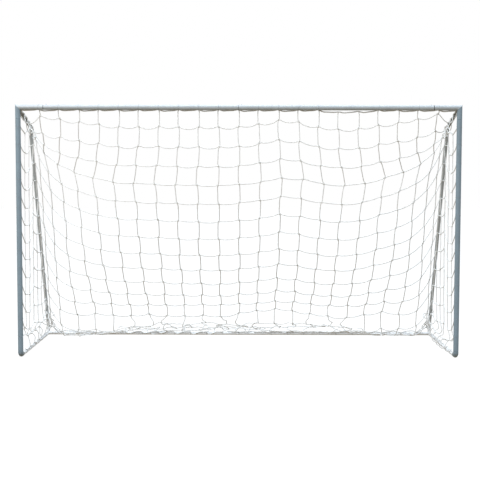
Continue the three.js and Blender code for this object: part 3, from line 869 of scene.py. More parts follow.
class Net:
    """The net as a web of points: its knots, and the points along each string between them."""

    def __init__(self):
        self.random = np.random.default_rng(SEED)
        self.points = []
        self.knots = {}
        self.strings = []
        self.pins = {}
        self.build_knots()
        self.build_strings()
        self.points = np.array(self.points)
        self.places = {index: place for place, index in self.knots.items()}

    def start_place(self, column, row):
        side = column_side(column)
        edge = from_edge(column)
        if edge < SIDE_MESHES:
            start, end = upright_point(row), stay_point(row)
            share = min(1.0, edge * MESH_SIZE / (end[1] - start[1]))
            return flipped(start * (1 - share) + end * share, side)
        if edge == SIDE_MESHES:
            return flipped(stay_point(row), side)
        top, bottom = bar_point(column), ground_point(column)
        share = row / ROWS
        place = top + (bottom - top) * share
        pull = math.exp(-(edge - SIDE_MESHES) / CORNER_PULL)
        near = flipped(stay_point(row), side)
        out = (near - place) * np.array([CORNER_ASIDE, 1, 1])
        return place + out * pull + np.array([0, -START_SAG * math.sin(math.pi * share), 0])

    def build_knots(self):
        for column in range(COLUMNS + 1):
            for row in range(ROWS + 1):
                if not has_knot(column, row):
                    continue
                index = len(self.points)
                place = self.start_place(column, row)
                self.knots[column, row] = index
                edge = from_edge(column)
                pinned = self.pin_of(column, row, edge)
                if pinned is None:
                    place = place + self.random.normal(0, KNOT_JITTER, 3)
                else:
                    self.pins[index] = pinned
                    place = pinned
                self.points.append(place)

    def pin_of(self, column, row, edge):
        side = column_side(column)
        if edge == 0:
            return flipped(upright_point(row), side)
        if edge == SIDE_MESHES and (row <= ARM_ROWS or row >= ROWS - 1):
            return flipped(stay_point(row), side)
        if edge > SIDE_MESHES and row == 0:
            drop = max(0.0, TOP_TIES.get(column - FIRST_BAR_COLUMN, 0.0))
            return bar_point(column) - LIFT * drop
        if row == ROWS and edge != SIDE_MESHES:
            return ground_point(column)
        return None

    def add_string(self, first, second, rest, kind, spot):
        a, b = self.points[first], self.points[second]
        inner = []
        for k in range(1, PARTS):
            inner.append(len(self.points))
            self.points.append(a + (b - a) * k / PARTS + self.random.normal(0, STRING_JITTER, 3))
        self.strings.append((kind, spot, [first, *inner, second], rest / PARTS))

    def build_strings(self):
        for column in range(COLUMNS + 1):
            rows = [row for row in range(ROWS + 1) if (column, row) in self.knots]
            if 0 < from_edge(column) < SIDE_MESHES and rows[0] > ARM_ROWS:
                stay = STAY_COLUMNS[column > COLUMNS // 2]
                self.join((stay, rows[0] - 1), (column, rows[0]), None, "down", (column, rows[0] - 1))
            for row, below in zip(rows, rows[1:]):
                rest = self.drop_rest(column, row)
                self.join((column, row), (column, below), rest, "down", (column, row))
        for row in range(ROWS + 1):
            columns = [column for column in range(COLUMNS + 1) if (column, row) in self.knots]
            for column, beside in zip(columns, columns[1:]):
                rest = self.across_rest(column, beside)
                self.join((column, row), (beside, row), rest, "across", (column, row))

    def drop_rest(self, column, row):
        edge = from_edge(column)
        if edge < SIDE_MESHES:
            return SIDE_MESH_DROP
        if edge == SIDE_MESHES:
            return MESH_SIZE
        if row == 0:
            return MESH_DROP + TOP_TIE + min(0.0, TOP_TIES.get(column - FIRST_BAR_COLUMN, 0.0))
        return MESH_DROP if row < LOW_ROW else LOW_MESH_DROP

    def across_rest(self, column, beside):
        """The length of a row's string, or None for one as long as the gap that it spans."""
        edges = sorted((from_edge(column), from_edge(beside)))
        if edges[1] == SIDE_MESHES:
            return None
        if edges[0] == SIDE_MESHES:
            return CORNER_MESH
        return MESH_SIZE

    def join(self, first, second, rest, kind, spot):
        a, b = self.knots[first], self.knots[second]
        if rest is None:
            rest = SPARE * np.linalg.norm(self.start_place(*second) - self.start_place(*first))
        rest *= 1 + self.random.normal(0, LENGTH_JITTER)
        self.add_string(a, b, self.tight(a, b, rest), kind, spot)

    def tight(self, first, second, rest):
        """A string between two ties is drawn tight, or nearly so."""
        if first in self.pins and second in self.pins:
            return min(rest, DRAWN_TIGHT * np.linalg.norm(self.pins[first] - self.pins[second]))
        return rest

    def rows_of_points(self):
        """Every point's row, with fractions for the points along the columns' strings."""
        rows = np.zeros(len(self.points))
        for kind, (_, row), indices, _ in self.strings:
            for k, index in enumerate(indices):
                rows[index] = row + (k / PARTS if kind == "down" else 0.0)
        return rows

    def tethers(self, pins):
        """For every point, the nearest of these pins along the twine, and how much twine is between them."""
        links = {}
        for _, _, indices, rest in self.strings:
            for first, second in zip(indices, indices[1:]):
                links.setdefault(first, []).append((second, rest))
                links.setdefault(second, []).append((first, rest))
        reach = {pin: 0.0 for pin in pins}
        source = {pin: pin for pin in pins}
        queue = [(0.0, pin) for pin in pins]
        heapq.heapify(queue)
        while queue:
            length, index = heapq.heappop(queue)
            if length > reach[index]:
                continue
            for other, rest in links[index]:
                if length + rest < reach.get(other, math.inf):
                    reach[other] = length + rest
                    source[other] = source[index]
                    heapq.heappush(queue, (length + rest, other))
        count = len(self.points)
        return np.array([source[i] for i in range(count)]), np.array([reach[i] for i in range(count)])

    def chains(self):
        """The points of each whole column and each whole row, in order."""
        runs = {}
        for kind, (column, row), points, _ in self.strings:
            key = (kind, column if kind == "down" else row)
            runs.setdefault(key, []).append(((row if kind == "down" else column), points))
        made = {}
        for key, parts in runs.items():
            parts.sort()
            run = [parts[0][1][0]]
            pieces = [run]
            for _, points in parts:
                if run[-1] != points[0]:
                    run = [points[0]]
                    pieces.append(run)
                run.extend(points[1:])
            made[key] = pieces
        return made


def tube_lines():
    """The frame's tubes as straight lines, each with its start, end and radius."""
    lines = [
        (flipped(CORNER, -1), CORNER, MAIN_RADIUS),
        (np.array([-UPRIGHT_X, BACK_Y, GROUND_Z]), np.array([UPRIGHT_X, BACK_Y, GROUND_Z]), THIN_RADIUS),
    ]
    right = [
        (CORNER, np.array([UPRIGHT_X, MOUTH_Y, MAIN_RADIUS]), MAIN_RADIUS),
        (CORNER, ELBOW, THIN_RADIUS),
        (ELBOW, STAY_FOOT, THIN_RADIUS),
        (np.array([UPRIGHT_X, MOUTH_Y, GROUND_Z]), STAY_FOOT, THIN_RADIUS),
    ]
    for side in SIDES.values():
        lines += [(flipped(start, side), flipped(end, side), radius) for start, end, radius in right]
    return lines


TUBE_LINES = tube_lines()


def from_line(points, start, end):
    """The way to points from the nearest places on a line, and its length."""
    line = end - start
    share = np.clip((points - start) @ line / (line @ line), 0, 1)
    away = points - start - share[:, None] * line
    return away, np.linalg.norm(away, axis=1)


def push_out(points, clear):
    """Moves points that lie in a tube, or under the ground, out of it."""
    for start, end, radius in TUBE_LINES:
        away, distance = from_line(points, start, end)
        inside = distance < radius + clear
        if inside.any():
            grow = (radius + clear) / np.maximum(distance[inside], 1e-6)
            points[inside] += away[inside] * (grow - 1)[:, None]
    np.maximum(points[:, 2], clear, out=points[:, 2])


def hold_to_pins(points, sources, lengths):
    """No point is further from its pin than the twine between them is long."""
    places = points[sources]
    away = points - places
    distance = np.linalg.norm(away, axis=1)
    far = distance > lengths
    points[far] = places[far] + away[far] * (lengths[far] / distance[far])[:, None]


class Pile:
    """The netting to spare, heaped along the back bar."""

    def __init__(self, net):
        rows = net.rows_of_points()
        rough = net.random.random(len(rows))
        self.inside = np.flatnonzero((rows > PILE_ROW) & (rows < ROWS))
        level = np.clip((ROWS - rows) / (ROWS - PILE_ROW), 0, 1)
        self.height = (PILE_HEIGHT * level * (0.75 + 0.5 * rough))[self.inside]
        self.front = (BACK_Y - PILE_DEPTH * level * (0.85 + 0.3 * rough[::-1]))[self.inside]

    def support(self, points):
        held = points[self.inside]
        width = np.clip((PILE_HALF_WIDTH - np.abs(held[:, 0])) / PILE_FADE, 0, 1)
        near = held[:, 2] < PILE_HEIGHT * PILE_ABOVE
        low = self.height * width
        held[:, 2] = np.maximum(held[:, 2], low)
        behind = np.where(near & (width > 0), self.front * width + (1 - width) * held[:, 1], -math.inf)
        held[:, 1] = np.clip(held[:, 1], behind, BACK_Y + PILE_BEHIND)
        points[self.inside] = held


def hold_near_stay(points, indices, side, reach):
    """Keeps the net's fold within reach of the stay that it turns round."""
    held = points[indices]
    away, distance = from_line(held, flipped(ELBOW, side), flipped(STAY_FOOT, side))
    far = distance > reach
    held[far] -= away[far] * (1 - reach / distance[far])[:, None]
    points[indices] = held


def as_arrays(groups):
    """Each group's list of (first, second, length) as three arrays."""
    return [tuple(np.array(column) for column in zip(*pairs)) for pairs in groups.values()]


def string_pairs(net):
    """Neighbours on a string and their twine, in groups in which no point comes twice."""
    groups = {}
    for kind, _, indices, rest in net.strings:
        for k in range(PARTS):
            group = (kind if k in (0, PARTS - 1) else "inner", k)
            groups.setdefault(group, []).append((indices[k], indices[k + 1], rest))
    return as_arrays(groups)


def bend_pairs(net):
    """Next but one neighbours, and the least distance that the twine's stiffness keeps between them."""
    rests = {}
    for _, _, indices, rest in net.strings:
        for pair in zip(indices, indices[1:]):
            rests[pair] = rest
    groups = {}
    for (kind, _), pieces in net.chains().items():
        for run in pieces:
            for k in range(len(run) - 2):
                least = STIFFNESS * (rests[run[k], run[k + 1]] + rests[run[k + 1], run[k + 2]])
                groups.setdefault((kind, k % BEND_GROUPS), []).append((run[k], run[k + 2], least))
    return as_arrays(groups)


def pin_tethers(net):
    """The tethers to the pins of the crossbar, of the ground bars, of the uprights and of the stays."""
    groups = [
        [i for i in net.pins if net.places[i][1] == 0],
        [i for i in net.pins if net.places[i][1] == ROWS],
        [i for i in net.pins if net.places[i][0] in (0, COLUMNS)],
        [i for i in net.pins if net.places[i][0] in STAY_COLUMNS],
    ]
    return [net.tethers(group) for group in groups]


def correct(points, weight, pairs, wrong, share=1.0):
    """Moves pairs of points towards their length, where wrong (maximum or minimum) says they are off it."""
    a, b, rest = pairs
    gap = points[b] - points[a]
    length = np.linalg.norm(gap, axis=1)
    off = wrong(length - rest, 0) / np.maximum(length, TINY) * share
    total = weight[a] + weight[b] + TINY
    points[a] += gap * (off * weight[a] / total)[:, None]
    points[b] -= gap * (off * weight[b] / total)[:, None]


def settle(net):
    """Lets the net hang: its strings keep their length, lie on the ground and stay out of the tubes."""
    points = net.points.copy()
    before = points.copy()
    strings, bends, tethers = string_pairs(net), bend_pairs(net), pin_tethers(net)
    pinned = np.array(list(net.pins))
    pin_places = np.array([net.pins[i] for i in pinned])
    weight = np.ones(len(points))
    weight[pinned] = 0
    folds = {
        side: np.array([i for (c, r), i in net.knots.items() if c == column and r > ARM_ROWS])
        for side, column in zip(SIDES.values(), STAY_COLUMNS)
    }
    pile = Pile(net)
    fall = -GRAVITY * LIFT * SIM_STEP * SIM_STEP
    for turn in range(SIM_STEPS):
        keep = SWING if turn < SIM_STEPS * SWING_SHARE else CALM
        moved = points + (points - before) * keep + fall
        low = points[:, 2] < TWINE_RADIUS + GROUND_REACH
        moved[low, :2] = points[low, :2] + GROUND_DRAG * (moved[low, :2] - points[low, :2])
        before = points
        points = moved
        points[pinned] = pin_places
        for sim_round in range(SIM_ROUNDS):
            for pairs in strings:
                correct(points, weight, pairs, np.maximum)
            for pairs in bends:
                correct(points, weight, pairs, np.minimum, BEND_SHARE)
            for sources, lengths in tethers:
                hold_to_pins(points, sources, lengths)
            for side, indices in folds.items():
                hold_near_stay(points, indices, side, THIN_RADIUS + FOLD_REACH)
            if sim_round % CONTACT_ROUNDS == CONTACT_ROUNDS - 1:
                pile.support(points)
                np.clip(points[:, 0], -UPRIGHT_X - SIDE_BULGE, UPRIGHT_X + SIDE_BULGE, out=points[:, 0])
                push_out(points, TWINE_RADIUS)
            points[pinned] = pin_places
    return points


# ---------------------------------------------------------------- the net's twine
ZIGZAG = 0.0105  # how far a string steps aside at each knot
KNOT_RADIUS = 0.0060
TIE_RADIUS = 0.0008
TWINE_SIDES = 6
STEPS_PER_PART = 3
NET_NODES = ["net_back_upper", "net_back_lower", "net_side_left", "net_side_right"]
KNOT_STEPS = 26
KNOT_TWINE = TWINE_RADIUS * 0.92  # drawn tight
KNOT_TURN = 2.4  # radians from one knot to the next, so that no two neighbours look alike
TIE_STEPS = 40
TIE_SLANT = 0.003
TIE_BULGE = 0.30  # half the angle, in radians, over which a tie stands out round the border cord
LOOP_SIDES = 5
BORDER_SIDES = 8


def through(points, steps):
    """A smooth curve through points, with this many steps between each two."""
    points = np.array(points)
    padded = np.vstack([2 * points[0] - points[1], points, 2 * points[-1] - points[-2]])
    curve = []
    for k in range(1, len(padded) - 2):
        p0, p1, p2, p3 = padded[k - 1 : k + 3]
        for i in range(steps):
            t = i / steps
            curve.append(
                0.5
                * (
                    2 * p1
                    + (p2 - p0) * t
                    + (2 * p0 - 5 * p1 + 4 * p2 - p3) * t**2
                    + (3 * p1 - p0 - 3 * p2 + p3) * t**3
                )
            )
    curve.append(points[-1])
    return np.array(curve)


def carried(heading):
    """Two vectors across each station of a path, turned as little as possible from one to the next."""
    first = np.cross(heading[0], [0.31, 0.47, 0.83])
    frames = [unit(first)]
    for k in range(1, len(heading)):
        v = frames[-1] - heading[k] * np.dot(frames[-1], heading[k])
        frames.append(unit(v))
    first = np.array(frames)
    return first, np.cross(heading, first)


def rope(path, radius, sides, closed=False):
    """A round cord along a path, with UVs in metres along it and round it."""
    path = np.asarray(path)
    if closed:
        ahead, behind = np.roll(path, -1, 0), np.roll(path, 1, 0)
        heading = (ahead - behind) / np.linalg.norm(ahead - behind, axis=1)[:, None]
    else:
        heading = along(path)
    first, second = carried(heading)
    count = len(path)
    angles = 2 * math.pi * np.arange(sides) / sides
    rings = (
        path[:, None]
        + radius * np.cos(angles)[None, :, None] * first[:, None]
        + radius * np.sin(angles)[None, :, None] * second[:, None]
    )
    shift = 0
    if closed:
        gaps = [np.abs(np.roll(rings[-1], -k, 0) - rings[0]).sum() for k in range(sides)]
        shift = int(np.argmin(gaps))
    lengths = arc_lengths(path)
    around = 2 * math.pi * radius / sides
    faces, uvs = [], []
    for k in range(count if closed else count - 1):
        wraps = k == count - 1
        near, far = k * sides, 0 if wraps else (k + 1) * sides
        turn = -shift if wraps else 0
        ahead = lengths[k] + np.linalg.norm(path[0] - path[-1]) if wraps else lengths[k + 1]
        for i in range(sides):
            j = (i + 1) % sides
            faces.append((near + i, near + j, far + (j + turn) % sides, far + (i + turn) % sides))
            uvs += [
                (lengths[k], i * around),
                (lengths[k], (i + 1) * around),
                (ahead, (i + 1) * around),
                (ahead, i * around),
            ]
    if not closed:
        last = (count - 1) * sides
        faces.append(tuple(reversed(range(sides))))
        faces.append(tuple(range(last, last + sides)))
        uvs += [(0.0, 0.0)] * (2 * sides)
    return rings.reshape(-1, 3), faces, uvs


def soft_piece(name, ropes, material):
    verts, faces = merge_parts([parts[:2] for parts in ropes])
    uvs = [uv for parts in ropes for uv in parts[2]]
    mesh = bpy.data.meshes.new(name)
    mesh.from_pydata([tuple(v) for v in verts], [], faces)
    set_uvs(mesh, uvs)
    mesh.shade_smooth()
    mesh.materials.append(material)
    hand_over(put(name, mesh), "net_twine", *NET_NODES)


def knot_frames(net, points):
    """At each knot, the directions of its row and its column, and the one out of the net."""
    beside, below = {}, {}
    for kind, (column, row), indices, _ in net.strings:
        step = points[indices[1]] - points[indices[0]]
        back = points[indices[-1]] - points[indices[-2]]
        table = beside if kind == "across" else below
        last = (column + 1, row) if kind == "across" else (column, row + 1)
        table.setdefault((column, row), []).append(step)
        table.setdefault(last, []).append(back)
    frames = {}
    for place in net.knots:
        across = unit(np.sum(beside.get(place, [ACROSS]), axis=0) + 1e-9)
        down = np.sum(below.get(place, [-LIFT]), axis=0)
        down = unit(down - across * np.dot(down, across) + 1e-9)
        frames[place] = (across, down, np.cross(across, down))
    return frames


def stepped(net, points, kind, run, frames):
    """A string's path, stepping to its other side at each knot."""
    path = through(points[run], STEPS_PER_PART)
    total = len(path)
    per_mesh = PARTS * STEPS_PER_PART
    offset = np.zeros((total, 3))
    for k in range(total):
        mesh, inside = divmod(k, per_mesh)
        before = net.places.get(run[min(mesh * PARTS, len(run) - 1)])
        after = net.places.get(run[min((mesh + 1) * PARTS, len(run) - 1)])
        share = inside / per_mesh
        pick = 0 if kind == "down" else 1
        aside = frames[before][pick] * (1 - share) + frames[after][pick] * share
        parity = 1 if sum(before) % 2 else -1
        edge = min(inside, per_mesh - inside)
        size = {0: 0.0, 1: 0.8}.get(edge, 1.0)
        amount = ZIGZAG / 2 if kind == "down" else ZIGZAG / 4
        offset[k] = aside * amount * parity * size
    return path + offset


def trefoil(place, frame, turn):
    """A small knot of twine."""
    across, down, out = frame
    scale = KNOT_RADIUS / 3
    curve = []
    for k in range(KNOT_STEPS):
        t = 2 * math.pi * k / KNOT_STEPS + turn
        x = math.sin(t) + 2 * math.sin(2 * t)
        y = math.cos(t) - 2 * math.cos(2 * t)
        z = -math.sin(3 * t) * 1.5
        curve.append(place + scale * (x * across + y * down + z * out))
    return rope(curve, KNOT_TWINE, LOOP_SIDES, closed=True)


def is_border(kind, column, row):
    """Whether a string's stretch from this knot is the net's border."""
    edge = from_edge(column)
    if kind == "across":
        if row in (0, ROWS):
            return True
        both_on_side = edge < SIDE_MESHES or from_edge(column + 1) < SIDE_MESHES
        return row == ARM_ROWS and both_on_side
    return edge == 0 or (edge == SIDE_MESHES and row < ARM_ROWS)


def clear_of_ground(path, radius):
    path = np.array(path)
    path[:, 2] = np.maximum(path[:, 2], radius)
    return path


def tie(centre, line, toward, tube_radius):
    """A loop of cord round a tube and the border cord beside it."""
    line = unit(line)
    toward = unit(toward - line * np.dot(toward, line))
    other = np.cross(line, toward)
    reach = HANG + BORDER_RADIUS + TIE_RADIUS
    curve = []
    for k in range(TIE_STEPS):
        angle = 2 * math.pi * k / TIE_STEPS - math.pi
        bulge = math.exp(-((angle / TIE_BULGE) ** 2))
        radius = tube_radius + TIE_RADIUS * 0.9 + reach * bulge
        slant = TIE_SLANT * math.sin(angle)
        curve.append(centre + radius * (math.cos(angle) * toward + math.sin(angle) * other) + slant * line)
    return rope(clear_of_ground(curve, TIE_RADIUS), TIE_RADIUS, LOOP_SIDES, closed=True)


def tie_for(point):
    """The tie that holds a border point to its tube, or nothing where no tube is near."""
    best = None
    for start, end, radius in TUBE_LINES:
        line = end - start
        share = np.clip((point - start) @ line / (line @ line), 0, 1)
        centre = start + share * line
        gap = np.linalg.norm(point - centre) - radius
        if best is None or gap < best[0]:
            best = (gap, centre, line, radius)
    gap, centre, line, radius = best
    if gap > HANG * 2.5:
        return None
    return tie(centre, line, point - centre, radius)


def border_ropes(net, points, kind, run):
    """The stretches of a string that are border, as thicker cord."""
    stretches, stretch = [], []
    for start in range(0, len(run) - 1, PARTS):
        part = run[start : start + PARTS + 1]
        if is_border(kind, *net.places[part[0]]):
            stretch = stretch + part[1:] if stretch else part
        else:
            stretches.append(stretch)
            stretch = []
    paths = [through(points[s], STEPS_PER_PART) for s in [*stretches, stretch] if s]
    return [rope(clear_of_ground(path, BORDER_RADIUS), BORDER_RADIUS, BORDER_SIDES) for path in paths]


def make_knots(net, points, frames):
    """A knot at each crossing, but not along the crossbar and the ground bars."""
    knots = []
    for number, (place, index) in enumerate(net.knots.items()):
        if index in net.pins and place[1] in (0, ROWS):
            continue
        centre = points[index].copy()
        centre[2] = max(centre[2], KNOT_RADIUS + TWINE_RADIUS)
        knots.append(trefoil(centre, frames[place], number * KNOT_TURN))
    return knots


def make_net(twine, cord, tie_cord):
    net = Net()
    points = settle(net)
    frames = knot_frames(net, points)
    strings = {"down": [], "across": []}
    borders = []
    for (kind, _), pieces in net.chains().items():
        for run in pieces:
            path = clear_of_ground(stepped(net, points, kind, run, frames), TWINE_RADIUS)
            strings[kind].append(rope(path, TWINE_RADIUS, TWINE_SIDES))
            borders += border_ropes(net, points, kind, run)
    ties = [loop for loop in (tie_for(points[index]) for index in net.pins) if loop is not None]
    soft_piece("net_twine_columns", strings["down"], twine)
    soft_piece("net_twine_rows", strings["across"], twine)
    soft_piece("net_knots", make_knots(net, points, frames), twine)
    soft_piece("net_border_cord", borders, cord)
    soft_piece("net_ties", ties, tie_cord)


# ---------------------------------------------------------------- materials
WAVE = 0.31416  # scale of a wave texture with bands 1 m apart
MITRE_BLUR = 0.0015  # half the width over which the tone changes at a mitre


class Nodes:
    """The node tree of a material or a world, and short ways to add to it."""

    def __init__(self, owner):
        owner.use_nodes = True
        self.owner = owner
        self.tree = owner.node_tree

    def feed(self, socket, value):
        """Gives a socket a value or a colour, or links another node's output to it."""
        if isinstance(value, bpy.types.NodeSocket):
            self.tree.links.new(value, socket)
        else:
            socket.default_value = (*value, 1) if socket.type == "RGBA" else value

    def add(self, kind, settings=None, **inputs):
        """A new node. Each input's name has _ for its spaces."""
        node = self.tree.nodes.new(kind)
        for key, value in (settings or {}).items():
            setattr(node, key, value)
        for key, value in inputs.items():
            self.feed(node.inputs[key.replace("_", " ")], value)
        return node

    def surface(self, **inputs):
        """Sets inputs of the material's shader. Returns the material."""
        shader = self.tree.nodes["Principled BSDF"]
        for key, value in inputs.items():
            self.feed(shader.inputs[key.replace("_", " ")], value)
        return self.owner

    def coordinates(self, kind="Object"):
        return self.add("ShaderNodeTexCoord").outputs[kind]

    def noise(self, vector, scale, detail=4.0, roughness=0.55):
        node = self.add("ShaderNodeTexNoise", Vector=vector, Scale=scale, Detail=detail, Roughness=roughness)
        return node.outputs["Fac"]

    def waves(self, vector, direction, pitch, **inputs):
        """Bands across the coordinates, a pitch apart in metres."""
        settings = {"wave_type": "BANDS", "bands_direction": direction}
        node = self.add("ShaderNodeTexWave", settings, Vector=vector, Scale=WAVE / pitch, **inputs)
        return node.outputs["Fac"]

    def ramp(self, value, stops):
        node = self.add("ShaderNodeValToRGB", Fac=value)
        elements = node.color_ramp.elements
        while len(elements) < len(stops):
            elements.new(0.5)
        for element, (position, color) in zip(elements, stops):
            element.position = position
            element.color = (*color, 1) if not isinstance(color, float) else (color, color, color, 1)
        return node.outputs["Color"]

    def parts(self, vector):
        return self.add("ShaderNodeSeparateXYZ", Vector=vector).outputs

    def range(self, value, **ends):
        return self.add("ShaderNodeMapRange", Value=value, **ends).outputs["Result"]

    def math(self, operation, first, second=0.0):
        node = self.add("ShaderNodeMath", {"operation": operation})
        self.feed(node.inputs[0], first)
        self.feed(node.inputs[1], second)
        return node.outputs[0]

    def mix(self, factor, first, second):
        node = self.add("ShaderNodeMix", {"data_type": "RGBA"})
        for value, number in ((factor, 0), (first, 6), (second, 7)):
            self.feed(node.inputs[number], value)
        return node.outputs[2]

    def bump(self, height, strength, distance):
        node = self.add("ShaderNodeBump", Strength=strength, Distance=distance, Height=height)
        return node.outputs["Normal"]


def past_mitre(n):
    """0 on the uprights' side of the corners' mitres and 1 on the crossbar's side."""
    # the mask where the crossbar's lighter, painted lit tone takes over from the uprights' tone
    place = n.parts(n.coordinates())
    level = n.math("SUBTRACT", place["Z"], n.math("ABSOLUTE", place["X"]))
    mitre = BAR_Z - UPRIGHT_X
    return n.range(level, From_Min=mitre - MITRE_BLUR, From_Max=mitre + MITRE_BLUR)


def beyond(axis, start, end):
    """What adds to a material a value of 0 before start and 1 after end along an axis of the object."""
    return lambda n: n.range(n.parts(n.coordinates())[axis], From_Min=start, From_Max=end)


def powder_coat(name, color, painted_light_zones, roughness):
    """Satin powder coat on steel tube: fine orange peel, faint mottling, scuffs and rubbed specks.

    Each zone is painted light or shade: a function that gives the zone's share of the tone, and the lit or
    shaded colour that it paints.
    """
    n = Nodes(bpy.data.materials.new(name))
    place = n.coordinates()
    # each zone paints light or shade into the colour, as a lit or shaded copy of the paint
    for share, tone in painted_light_zones:
        color = n.mix(share(n), color, tone)
    mottle = n.ramp(n.noise(place, 14.0, 5.0), [(0.35, 0.0), (0.65, 1.0)])
    color = n.mix(n.math("MULTIPLY", mottle, 0.16), color, (0.12, 0.13, 0.14))
    scuffs = n.ramp(n.noise(place, 95.0, 8.0, 0.72), [(0.66, 0.0), (0.74, 1.0)])
    color = n.mix(n.math("MULTIPLY", scuffs, 0.35), color, (0.66, 0.67, 0.68))
    rough = n.range(n.noise(place, 40.0, 6.0, 0.65), To_Min=roughness - 0.07, To_Max=roughness + 0.12)
    peel = n.bump(n.noise(place, 900.0, 2.0), 0.16, 0.0004)
    return n.surface(
        Base_Color=color, Roughness=rough, Metallic=0.0, Coat_Weight=0.25, Coat_Roughness=0.28, Normal=peel
    )


def bare_steel(name, color, roughness):
    """Drawn steel with fine scratches."""
    n = Nodes(bpy.data.materials.new(name))
    place = n.coordinates()
    stretch = n.add("ShaderNodeMapping", Vector=place, Scale=(1400.0, 1400.0, 160.0))
    grain = n.noise(stretch.outputs["Vector"], 1.0, 3.0)
    shade = n.ramp(grain, [(0.3, tuple(c * 0.86 for c in color)), (0.7, color)])
    rough = n.ramp(n.noise(place, 300.0), [(0.2, roughness - 0.08), (0.8, roughness + 0.08)])
    return n.surface(Base_Color=shade, Roughness=rough, Metallic=1.0, Normal=n.bump(grain, 0.12, 0.0002))


def braided(name, light, groove_shade, pitch):
    """Braided or twisted cord, its strands slanting across UVs that are in metres."""
    n = Nodes(bpy.data.materials.new(name))
    slant = n.add("ShaderNodeMapping", Vector=n.coordinates("UV"), Rotation=(0.0, 0.0, math.radians(38)))
    strands = n.waves(slant.outputs["Vector"], "X", pitch, Distortion=0.6, Detail_Scale=3.0)
    fibre = n.noise(n.coordinates(), 900.0, 3.0)
    soil = n.ramp(n.noise(n.coordinates(), 3.5, 4.0), [(0.38, 0.0), (0.68, 1.0)])
    # painted shade: the grooves between the strands take the darker colour
    color = n.mix(n.math("MULTIPLY", strands, 0.55), groove_shade, light)
    color = n.mix(n.math("MULTIPLY", soil, 0.22), color, tuple(c * 0.78 for c in groove_shade))
    color = n.mix(n.math("MULTIPLY", fibre, 0.18), color, light)
    relief = n.bump(n.math("ADD", strands, n.math("MULTIPLY", fibre, 0.35)), 0.7, 0.0004)
    return n.surface(Base_Color=color, Roughness=0.86, Sheen_Weight=0.25, Sheen_Roughness=0.5, Normal=relief)


def webbing_material():
    """Woven hook-and-loop tape: warp ribs and weft, with fuzz over them."""
    n = Nodes(bpy.data.materials.new("strap_webbing"))
    place = n.coordinates("UV")
    warp = n.waves(place, "Y", 0.0009, Distortion=0.35)
    weft = n.waves(place, "X", 0.0013, Distortion=0.35)
    weave = n.math("MULTIPLY", warp, weft)
    fuzz = n.noise(n.coordinates(), 700.0, 4.0)
    # painted shade: the dips between the ribs of the weave take the darker colour
    color = n.mix(weave, (0.50, 0.50, 0.48), (0.83, 0.83, 0.80))
    color = n.mix(n.math("MULTIPLY", fuzz, 0.22), color, (0.93, 0.93, 0.90))
    relief = n.bump(n.math("ADD", weave, n.math("MULTIPLY", fuzz, 0.4)), 0.65, 0.0005)
    return n.surface(Base_Color=color, Roughness=0.9, Sheen_Weight=0.35, Normal=relief)


# ---------------------------------------------------------------- stage, light and camera
FLOOR_REACH = 30.0
FLOOR_Z = -0.0005
CAMERA_X = 0.031
CAMERA_DISTANCE = 7.364  # in front of the mouth
CAMERA_HEIGHT = 1.338
CAMERA_TURN = (-0.0026, 0.0653, 0.0019)  # yaw, pitch and roll in radians
CAMERA_LENS = 76.707  # mm, on a 36 mm sensor


def gradient_world():
    """White where the camera sees it; for the object, a bright sky above and dark ground below."""
    n = Nodes(bpy.data.worlds.new("studio"))
    n.tree.nodes.clear()
    level = n.range(n.parts(n.coordinates("Generated"))["Z"], From_Min=-1.0)
    sky = n.ramp(
        level,
        [
            (0.0, (0.37, 0.30, 0.19)),
            (0.44, (0.44, 0.40, 0.33)),
            (0.52, (0.56, 0.59, 0.60)),
            (0.70, (0.90, 1.02, 1.14)),
            (1.0, (1.50, 1.72, 1.95)),
        ],
    )
    lit = n.add("ShaderNodeBackground", Color=sky, Strength=0.86)
    seen = n.add("ShaderNodeBackground", Color=(1, 1, 1), Strength=1.0)
    rays = n.add("ShaderNodeLightPath")
    mix = n.add("ShaderNodeMixShader", Fac=rays.outputs["Is Camera Ray"])
    n.feed(mix.inputs[1], lit.outputs[0])
    n.feed(mix.inputs[2], seen.outputs[0])
    n.add("ShaderNodeOutputWorld", Surface=mix.outputs[0])
    bpy.context.scene.world = n.owner


def area_light(name, place, target, size, power, color):
    data = bpy.data.lights.new(name, "AREA")
    data.shape = "RECTANGLE"
    data.size, data.size_y = size
    data.energy = power
    data.color = color
    light = put(name, data)
    light.location = place
    light.rotation_euler = (Vector(target) - Vector(place)).to_track_quat("-Z", "Y").to_euler()


def make_floor():
    """A wide, pale floor just under the ground bars, that throws no light back on the goal."""
    corners = [(x * FLOOR_REACH, y * FLOOR_REACH, FLOOR_Z) for x, y in ((-1, -1), (1, -1), (1, 1), (-1, 1))]
    mesh = bpy.data.meshes.new("floor")
    mesh.from_pydata(corners, [], [(0, 1, 2, 3)])
    n = Nodes(bpy.data.materials.new("floor_paint"))
    tone = n.ramp(n.noise(n.coordinates(), 0.6, 3.0), [(0.3, 0.10), (0.7, 0.12)])
    n.surface(Base_Color=tone, Roughness=1.0, Specular_IOR_Level=0.0)
    mesh.materials.append(n.surface(Emission_Color=(1, 1, 1), Emission_Strength=0.92))
    floor = put("floor", mesh)
    floor.visible_diffuse = False
    floor.visible_glossy = False


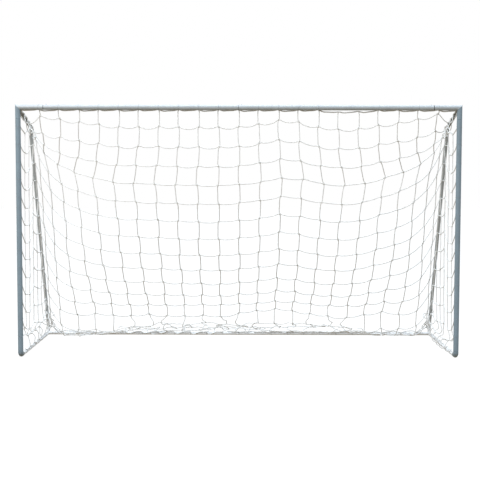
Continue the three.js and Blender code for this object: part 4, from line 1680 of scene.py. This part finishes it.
def make_camera():
    """The camera's place and turn follow from the goal's perspective."""
    yaw, pitch, roll = CAMERA_TURN
    place = Vector((CAMERA_X, MOUTH_Y - CAMERA_DISTANCE, CAMERA_HEIGHT))
    forward = Vector((math.sin(yaw) * math.cos(pitch), math.cos(yaw) * math.cos(pitch), -math.sin(pitch)))
    right = Vector((math.cos(yaw), -math.sin(yaw), 0.0))
    up = right.cross(forward)
    rolled_right = math.cos(roll) * right + math.sin(roll) * up
    rolled_up = math.cos(roll) * up - math.sin(roll) * right
    turn = Matrix((rolled_right, rolled_up, -forward)).transposed().to_4x4()
    data = bpy.data.cameras.new("camera")
    data.lens = CAMERA_LENS
    data.sensor_width = 36.0
    data.sensor_fit = "HORIZONTAL"
    camera = put("camera", data)
    camera.matrix_world = Matrix.Translation(place) @ turn
    bpy.context.scene.camera = camera


def make_stage():
    gradient_world()
    make_floor()
    make_camera()
    area_light("key", (-3.6, -5.0, 5.2), (0.0, 0.0, 0.9), (2.4, 2.4), 265.0, (1.0, 0.99, 0.97))
    area_light("overhead", (0.0, 0.0, 6.0), (0.0, 0.0, 0.0), (5.0, 3.0), 172.0, (0.86, 0.94, 1.0))
    bpy.context.scene.view_settings.view_transform = "Standard"


# painted light on the main tubes: the crossbar's side of each mitre gets a lighter, lit copy of the paint,
# and the parts behind the mouth a dark painted shade
main_painted_light_zones = [
    (past_mitre, (0.435, 0.461, 0.477)),
    # painted shade: the paint behind the mouth, the arm to the stay above all, is darkened to a dark olive
    # grey
    (beyond("Y", MOUTH_Y + MAIN_RADIUS * 0.9, MOUTH_Y + MAIN_RADIUS * 1.6), (0.185, 0.187, 0.165)),
]
# painted highlight: the thin tubes turn almost white near the ground, as if lit from above
thin_painted_light_zones = [(beyond("Z", 0.16, 0.06), (0.88, 0.88, 0.885))]
main_paint = powder_coat("main_tube_paint", (0.228, 0.294, 0.340), main_painted_light_zones, 0.34)
thin_paint = powder_coat("thin_tube_paint", (0.40, 0.415, 0.415), thin_painted_light_zones, 0.36)
bare_metal = bare_steel("bare_tube_steel", (0.035, 0.035, 0.035), 0.55)
button_steel = bare_steel("button_steel", (0.62, 0.63, 0.64), 0.30)
spring_steel = bare_steel("leaf_spring_steel", (0.36, 0.37, 0.38), 0.38)
# each cord's second colour is painted shade for the grooves between its strands, and the base of its darker
# soil
twine = braided("net_twine", (0.88, 0.865, 0.845), (0.74, 0.725, 0.70), 0.0026)
cord = braided("net_cord", (0.88, 0.865, 0.845), (0.74, 0.725, 0.70), 0.0032)
tie_cord = braided("net_tie_cord", (0.40, 0.42, 0.44), (0.26, 0.28, 0.30), 0.0012)

make_stage()
make_tubes(main_paint, thin_paint, bare_metal)
make_buttons(button_steel, spring_steel)
make_straps(webbing_material())
make_net(twine, cord, tie_cord)
